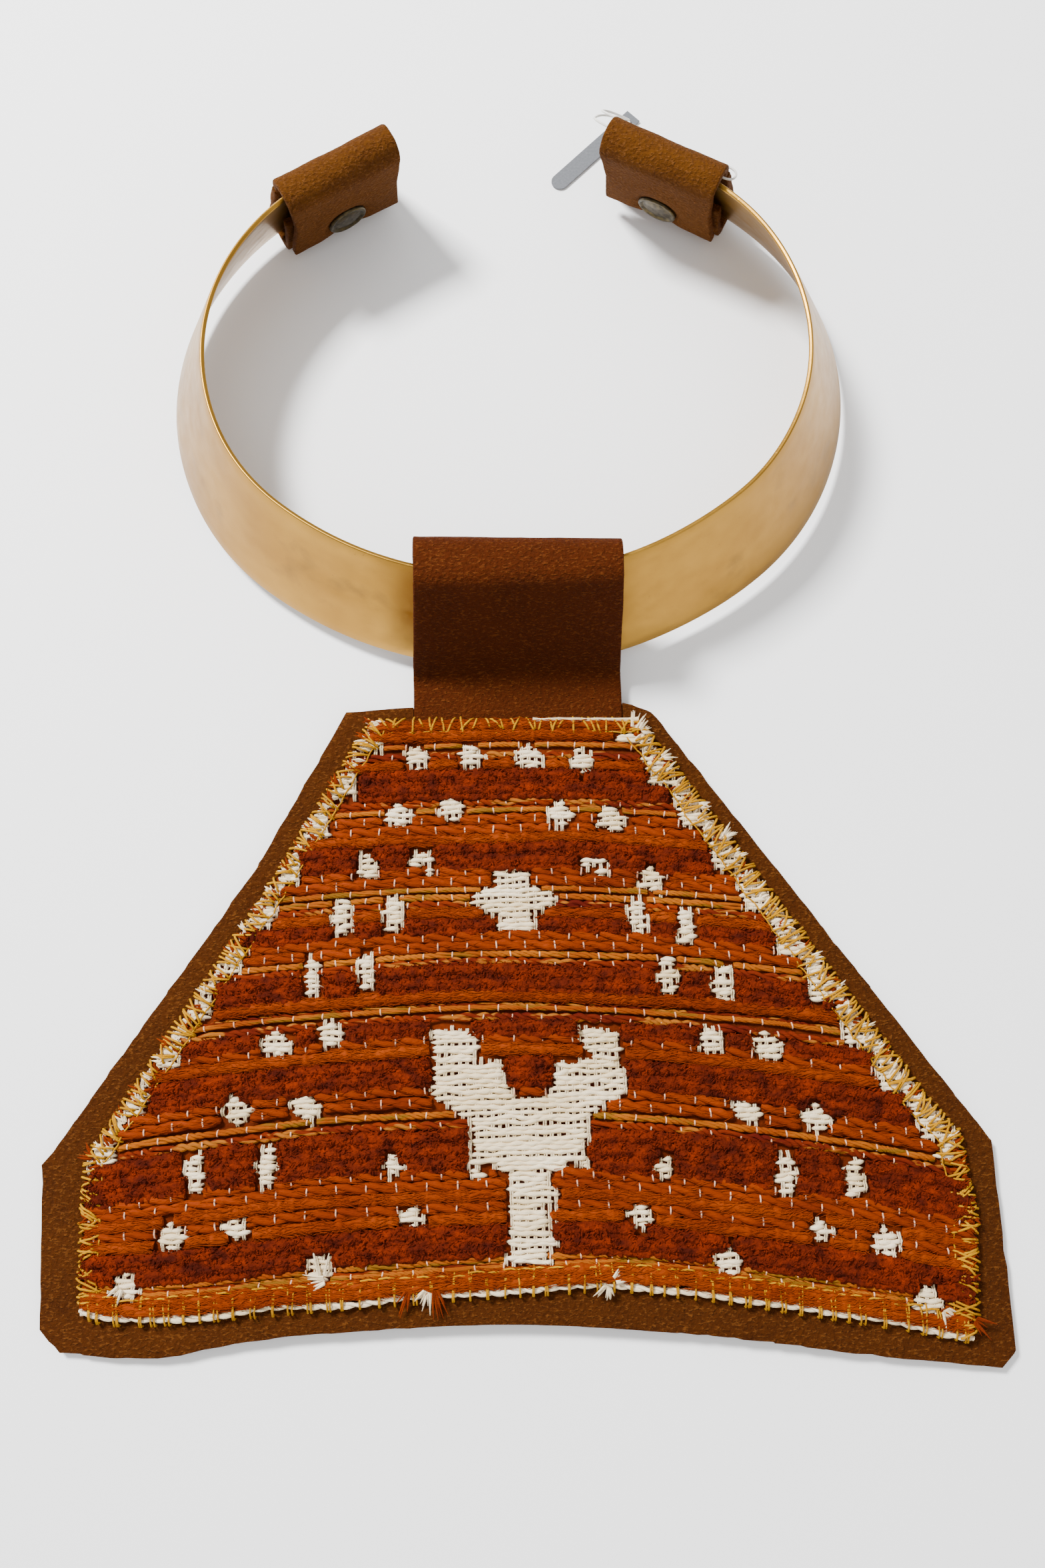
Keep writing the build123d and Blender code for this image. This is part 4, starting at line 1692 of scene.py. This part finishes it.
@dataclass
class Edging:
    """Overlock stitches, frayed ends and the couched cord round the woven panel."""

    panel: WovenPanel
    seed: int = 23
    cord_height: float = 1.15

    def __post_init__(self) -> None:
        """Seeds the edging's own random numbers."""
        self.random = random.Random(self.seed)

    def top(self, x: float) -> float:
        """Height of the edging's middle over the cloth's edge."""
        return self.panel.height(x) + 1.25

    def walk(self, line: Sequence[Flat], step: float) -> list[tuple[Vector, Vector]]:
        """Even places along an edge, with the direction into the cloth.

        Args:
            line: the edge, with the cloth on its left.
            step: spacing in millimetres.

        Returns:
            Pairs of place and inward direction.
        """
        points = resampled(list(line), step)
        found = []
        for (ax, ay), (bx, by) in zip(points, points[1:]):
            along = Vector((bx - ax, by - ay, 0)).normalized()
            found.append((Vector((ax, ay, 0)), Vector((-along.y, along.x, 0))))
        return found

    def arc(self, start: Vector, end: Vector, low: float, high: float) -> list[Point]:
        """Three points of a short thread that rises in its middle.

        Args:
            start: where it starts on the cloth.
            end: where it ends.
            low: height of its ends over the edging's middle.
            high: height of its middle there.

        Returns:
            The points.
        """
        spots = ((start, low), ((start + end) / 2, high), (end, low))
        return [(spot.x, spot.y, self.top(spot.x) + rise) for spot, rise in spots]

    def stitch(self, skein: Skein, place: Vector, inward: Vector, depth: float, lean: float) -> None:
        """One overlock loop: round the cut edge, over the cloth and down into it.

        Args:
            skein: where it goes.
            place: point on the edge.
            inward: direction into the cloth.
            depth: how far in it bites.
            lean: how far along the edge it leans.
        """
        along = Vector((inward.y, -inward.x, 0))
        top = self.top(place.x)
        points = []
        for share, rise in ((-0.16, -1.9), (-0.2, -0.6), (0.05, 0.4), (0.5, 0.7), (0.92, 0.4), (1.0, -0.7)):
            spot = place + inward * (depth * share) + along * (lean * share)
            spot += Vector((self.random.uniform(-0.12, 0.12), self.random.uniform(-0.12, 0.12), 0))
            points.append((spot.x, spot.y, top + rise))
        skein.add(points, 0.23)

    def loops(self, skein: Skein, line: Sequence[Flat], depth: float, spacing: float) -> None:
        """Overlocks one edge, with pairs of leaning stitches and a chain along their tips.

        Args:
            skein: where they go.
            line: the edge.
            depth: stitch depth.
            spacing: distance between stitches.
        """
        places = self.walk(line, spacing)
        for place, inward in self.walk(line, spacing * 0.5):
            jump = Vector((inward.y, -inward.x, 0)) * self.random.uniform(-0.5, 0.5)
            bite = depth * self.random.uniform(0.55, 1.15)
            self.stitch(skein, place + jump, inward, bite, self.random.uniform(-2.4, 2.4))
        tips = [place + inward * depth * self.random.uniform(0.85, 1.0) for place, inward in places]
        for a, b in zip(tips, tips[1:]):
            skein.add(self.arc(a, b, -0.1, 0.3), 0.16)

    def fray(self, skein: Skein, line: Sequence[Flat], reach: float, spacing: float, ends: int) -> None:
        """Frayed yarn ends that stick out between the stitches.

        Args:
            skein: where they go.
            line: the edge.
            reach: how far out the ends go.
            spacing: distance between tufts.
            ends: fibres in a tuft.
        """
        for place, inward in self.walk(line, spacing):
            side = Vector((inward.y, -inward.x, 0))
            centre = place + inward * self.random.uniform(0.8, 2.4) + side * self.random.uniform(-1.0, 1.0)
            out = (-inward + side * self.random.uniform(-0.9, 0.3)).normalized()
            for _ in range(ends):
                start = centre + side * self.random.uniform(-0.8, 0.8) + inward * self.random.uniform(-0.5, 0.5)
                way = (out + side * self.random.uniform(-0.75, 0.75)).normalized()
                long = reach * self.random.uniform(0.5, 1.2)
                lift = self.random.uniform(-0.2, 0.8)
                points = []
                for share in (0.0, 0.35, 0.7, 1.0):
                    spot = start + way * long * share
                    z = self.top(start.x) + 0.1 + lift * math.sin(share * 2.2) - 0.5 * share * share
                    points.append((spot.x, spot.y, z))
                skein.add(points, [0.3, 0.24, 0.15, 0.05])

    def tassel(self, skein: Skein, place: Flat, way: Flat, reach: float, ends: int) -> None:
        """A loose yarn end that has opened into its fibres.

        Args:
            skein: where it goes.
            place: where it starts on the cloth.
            way: the direction that it lies in.
            reach: its length.
            ends: fibres in it.
        """
        heading = Vector((*way, 0)).normalized()
        aside = Vector((-heading.y, heading.x, 0))
        rise = self.panel.pendant.face(place[0])
        for _ in range(ends):
            spread = self.random.uniform(-0.7, 0.7)
            long = reach * self.random.uniform(0.5, 1.1)
            points = []
            for share in (0.0, 0.3, 0.65, 1.0):
                spot = Vector((*place, 0)) + heading * long * share + aside * (0.5 + share) * spread * 2
                points.append((spot.x, spot.y, rise + 2.3 + 0.5 * share - 1.9 * share * share + abs(spread)))
            skein.add(points, [0.26, 0.22, 0.14, 0.05])

    def knots(self, skein: Skein, line: Sequence[Flat], share: float) -> None:
        """The thick yarn turns that fill the overlocked edge between its stitches.

        Args:
            skein: where they go.
            line: the edge.
            share: share of the places that have one.
        """
        for place, inward in self.walk(line, 1.35):
            if self.random.random() > share:
                continue
            side = Vector((inward.y, -inward.x, 0)) * self.random.uniform(-1.4, 1.4)
            start = place + inward * self.random.uniform(0.3, 1.0)
            end = start + inward * self.random.uniform(1.6, 3.0) + side
            fat = self.random.uniform(0.34, 0.56)
            skein.add(self.arc(start, end, -0.5, 0.1), [fat * 0.6, fat, fat * 0.6])

    def tufts(self, skein: Skein) -> None:
        """The larger cream tufts, knots and loose ends round the cloth.

        Args:
            skein: where they go.
        """
        for place, way, reach, ends in (
            ((24.0, -77.6), (0.35, 0.95), 3.8, 12),
            ((25.5, -78.5), (0.9, 0.6), 2.6, 12),
            ((29.5, -84.0), (0.9, 0.7), 2.6, 10),
            ((41.5, -101.0), (0.9, 0.6), 2.6, 10),
            ((13.5, -186.8), (-0.3, -0.8), 2.4, 14),
            ((15.0, -185.6), (0.6, 0.3), 3.2, 10),
            ((-20.5, -186.6), (-0.4, -1.0), 3.6, 10),
            ((-40.5, -183.0), (-0.1, 1.0), 6.6, 3),
            ((-40.0, -184.0), (-0.9, -0.2), 5.0, 9),
            ((77.0, -193.0), (0.5, -0.9), 3.6, 16),
            ((-79.0, -184.5), (-0.6, -0.8), 3.8, 10),
        ):
            self.tassel(skein, place, way, reach, ends)

    def selvedge(self, skein: Skein, line: Sequence[Flat]) -> None:
        """The lumpy cream thread along the cloth's upper edge.

        Args:
            skein: where it goes.
            line: the edge.
        """
        points = resampled(line, 0.8)
        path = [(x, y + 0.25 * noise.noise(Vector((x * 0.3, 1, 0))), self.top(x) + 0.25) for x, y in points]
        skein.add(path, [0.34 + 0.5 * max(0.0, noise.noise(Vector((x * 0.22, 4, 0)))) for x, _ in points])

    def corded(self, wardrobe: Wardrobe) -> bpy.types.Object:
        """The two-ply cream cord couched along the lower edge.

        Args:
            wardrobe: the finishes.

        Returns:
            The cord.
        """
        skein = Skein(2)
        line = smooth_line(self.panel.bottom, 0.6)
        length = 0.0
        strands: list[list[Point]] = [[], []]
        for (ax, ay), (bx, by) in zip(line, line[1:]):
            length += math.hypot(bx - ax, by - ay)
            for k, strand in enumerate(strands):
                angle = math.tau * (length / 6.5 + k / 2)
                wander = 0.8 * noise.noise(Vector((ax * 0.07, 3.0, 0)))
                rise = self.panel.pendant.face(ax) + self.cord_height
                strand.append((ax, ay - 1.15 + wander + 0.34 * math.cos(angle), rise + 0.28 * math.sin(angle)))
        for strand in strands:
            skein.add(strand, [0.42 + 0.2 * noise.noise(Vector(p) * 0.35) for p in strand])
        piece = on_pendant("couched_cord", skein.mesh(), wardrobe.cream, Slot.CORD)
        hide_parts("edge_cord")
        return piece

    def couching(self, skein: Skein) -> None:
        """Upright yellow stitches that tie the cord to the cloth.

        Args:
            skein: where they go.
        """
        line = smooth_line(self.panel.bottom, 3.1)
        for x, y in line[1:-1]:
            for _ in range(2 + (self.random.random() < 0.25)):
                at = x + self.random.uniform(-0.5, 0.5)
                lean = self.random.uniform(-0.4, 0.4)
                cord = self.panel.pendant.face(at) + self.cord_height
                top = self.top(at)
                reach = self.random.uniform(2.0, 3.2)
                points = [
                    (at, y - 2.35, cord - 0.9),
                    (at, y - 2.4, cord + 0.3),
                    (at, y - 1.4, cord + 1.1),
                    (at + lean * 0.3, y - 0.3, top + 0.25),
                    (at + lean * 0.7, y + reach * 0.5, top + 0.45),
                    (at + lean, y + reach * 0.9, top + 0.2),
                    (at + lean, y + reach, top - 0.6),
                ]
                skein.add(points, 0.17)
        for (ax, ay), (bx, by) in zip(line, line[1:]):
            y = (ay + by) / 2 + self.random.uniform(2.0, 2.7)
            top = self.top((ax + bx) / 2)
            skein.add([(ax, y, top), ((ax + bx) / 2, y + 0.3, top + 0.55), (bx, y, top)], 0.2)

    def build(self, wardrobe: Wardrobe) -> None:
        """Sews the panel's edges.

        Args:
            wardrobe: the finishes.
        """
        panel = self.panel
        yellow = Skein(1)
        top_edge = (panel.right[-1], panel.left[0])
        self.loops(yellow, panel.left, 3.8, 2.0)
        self.loops(yellow, panel.right, 4.4, 1.7)
        self.loops(yellow, top_edge, 2.9, 3.4)
        self.couching(yellow)
        sewn = on_pendant("overlock_stitches", yellow.mesh(), wardrobe.yellow, Slot.OVERLOCK)
        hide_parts("overlock_edging")
        frayed = Skein(0)
        self.fray(frayed, panel.left[:3], 2.0, 4.9, 7)
        self.fray(frayed, panel.right[2:], 2.1, 4.3, 8)
        self.knots(frayed, panel.left, 0.6)
        self.knots(frayed, panel.right[2:], 0.7)
        self.tufts(frayed)
        self.selvedge(frayed, (top_edge[0], (3.0, -75.1)))
        on_pendant("frayed_ends", frayed.mesh(), wardrobe.cream, Slot.OVERLOCK)
        dyed = Skein(0)
        self.fray(dyed, panel.left, 2.2, 5.2, 6)
        self.fray(dyed, panel.right[:3], 2.0, 3.0, 6)
        self.fray(dyed, panel.right[2:], 1.8, 9.0, 5)
        self.knots(dyed, panel.left, 0.35)
        self.knots(dyed, panel.right[:3], 0.9)
        self.knots(dyed, panel.right[2:], 0.25)
        for place, way in (((-24, -186.6), (-0.3, -1)), ((-19, -186.4), (0.2, -1)), ((82.5, -195), (1, -0.8))):
            self.tassel(dyed, place, way, 5.0, 9)
        on_pendant("frayed_dyed_ends", dyed.mesh(), wardrobe.rope, Slot.OVERLOCK)
        self.corded(wardrobe)


# ---------------------------------------------------------------- price tag and its thread


@dataclass
class TagThread:
    """Thread from the tag, through the right sleeve, round its end and back to the tag."""

    sleeve: Sleeve
    diameter: float = 0.5
    height: float = 25.5
    low: float = 1.0
    length: float = 128.0
    hole: Flat = (30.289, 73.071)

    def route(self) -> list[Vector]:
        """The thread's points, in millimetres in the shared frame."""
        sleeve = self.sleeve
        collar = sleeve.collar
        inside = collar.outside(sleeve.back_line - sleeve.suede / 2 - 0.5, self.height)
        outside = collar.outside(sleeve.back_line + sleeve.suede / 2 + 0.15 + self.diameter / 2, self.height)
        end = sleeve.length / 2 + 1.6
        start = -sleeve.length / 2
        spot = sleeve.place.inverted() @ Vector((*self.hole, 0))
        points = [
            (spot.x - 0.4, spot.y, self.low),
            (start - 6.4, collar.arc_radius + 17.0, 10.5),
            (start - 6.2, collar.arc_radius + 8.5, 20.0),
            (start - 5.0, inside, self.height),
            (end - 5.0, inside, self.height + 0.1),
            (end, inside, self.height),
            (end, outside, self.height),
            (end - 5.0, outside, self.height + 0.1),
            (start - 4.7, outside, self.height),
            (start - 5.5, collar.arc_radius + 11.5, 18.5),
            (start - 5.5, collar.arc_radius + 19.5, 8.5),
            (spot.x + 0.4, spot.y + 0.2, self.low),
        ]
        return [sleeve.place @ Vector(p) for p in points]

    def build(self, wardrobe: Wardrobe) -> bpy.types.Object:
        """Args:
            wardrobe: the finishes.

        Returns:
            The thread.
        """
        points = [p * MM for p in self.route()]
        curve = bpy.data.curves.new("price_thread", "CURVE")
        curve.dimensions = "3D"
        curve.bevel_depth = self.diameter / 2 * MM
        curve.bevel_resolution = 2
        curve.resolution_u = 12
        curve.use_fill_caps = True
        spline = curve.splines.new("NURBS")
        spline.points.add(len(points) - 1)
        for point, place in zip(spline.points, points):
            point.co = (*place, 1.0)
        spline.order_u = 3
        spline.use_endpoint_u = True
        curve.materials.append(wardrobe.thread)
        thread = bpy.data.objects.new("price_thread", curve)
        bpy.context.scene.collection.objects.link(thread)
        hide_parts("tag_thread")
        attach(thread, "collar")
        tag = dress_node("price_tag", wardrobe.paper, Slot.PAPER)
        tuple(points[0])
        LOG.info("price_thread: on %d points", len(points))
        return thread


# ---------------------------------------------------------------- studio


@dataclass
class Studio:
    """Camera, lights and the pale floor."""

    eye: Point = (0.475, -151.395, 272.845)
    target: Point = (0.475, -87.4, 0.0)
    roll: float = -1.82
    lens: float = 30.612
    floor_colour: str = "FFFFFF"

    def camera(self) -> bpy.types.Object:
        """Sets the camera above and in front of the necklace."""
        back = (Vector(self.eye) - Vector(self.target)).normalized()
        across = Vector((1, 0, 0))
        up = back.cross(across)
        turn = math.radians(self.roll)
        right = across * math.cos(turn) + up * math.sin(turn)
        above = up * math.cos(turn) - across * math.sin(turn)
        data = bpy.data.cameras.new("camera")
        data.sensor_width = 36.0
        data.lens = self.lens
        data.clip_start = 0.01
        data.clip_end = 20.0
        camera = bpy.data.objects.new("camera", data)
        camera.matrix_world = Matrix.Translation(Vector(self.eye) * MM) @ (
            Matrix((right, above, back)).transposed().to_4x4()
        )
        bpy.context.scene.collection.objects.link(camera)
        bpy.context.scene.camera = camera
        return camera

    def lamp(self, name: str, place: Point, size: float, power: float) -> None:
        """Adds a soft lamp that faces the necklace.

        Args:
            name: its name.
            place: where it stands, in metres.
            size: its side, in metres.
            power: its power in watts.
        """
        data = bpy.data.lights.new(name, "AREA")
        data.size = size
        data.energy = power
        lamp = bpy.data.objects.new(name, data)
        lamp.location = place
        lamp.rotation_mode = "QUATERNION"
        aim = Vector((0, -0.07, 0)) - Vector(place)
        lamp.rotation_quaternion = aim.to_track_quat("-Z", "Y")
        bpy.context.scene.collection.objects.link(lamp)

    def build(self) -> None:
        """Makes the floor, the world and the lamps."""
        bm = bmesh.new()
        bmesh.ops.create_grid(bm, x_segments=2, y_segments=2, size=3.0)
        floor = bpy.data.objects.new("floor", mesh_of(bm, "floor"))
        floor.location.z = -0.0001
        bench = NodeBench("pale_floor")
        bench.set(base_color=colour(self.floor_colour), roughness=0.9, specular_ior_level=0.1)
        floor.data.materials.append(bench.material)
        bpy.context.scene.collection.objects.link(floor)
        world = bpy.data.worlds.new("studio")
        world.use_nodes = True
        background = world.node_tree.nodes["Background"]
        background.inputs["Color"].default_value = (1, 1, 1, 1)
        background.inputs["Strength"].default_value = 0.9
        bpy.context.scene.world = world
        self.lamp("key", (-0.42, 0.34, 0.75), 0.2, 24.0)
        self.lamp("fill", (0.5, -0.7, 0.9), 1.0, 3.0)


def main() -> None:
    """Builds the necklace piece by piece."""
    logging.basicConfig(level=logging.INFO, format="%(name)s %(message)s")
    noise.seed_set(NOISE_SEED)
    studio = Studio()
    studio.camera()
    wardrobe = Wardrobe()
    collar = Collar()
    sleeves = {side: Sleeve(collar, side) for side in Side}
    TagThread(sleeves[Side.RIGHT]).build(wardrobe)
    collar.build(wardrobe)
    for sleeve in sleeves.values():
        sleeve.build(wardrobe)
    Hanger(collar).build(wardrobe)
    pendant = Pendant()
    pendant.backing(wardrobe)
    dress_node("hanger_tail", wardrobe.hanger, Slot.HANGER)
    panel = WovenPanel(pendant)
    panel.wefts(wardrobe)
    panel.cream(wardrobe)
    Edging(panel).build(wardrobe)
    panel.ground(wardrobe)
    studio.build()


if __name__ == "__main__":
    main()
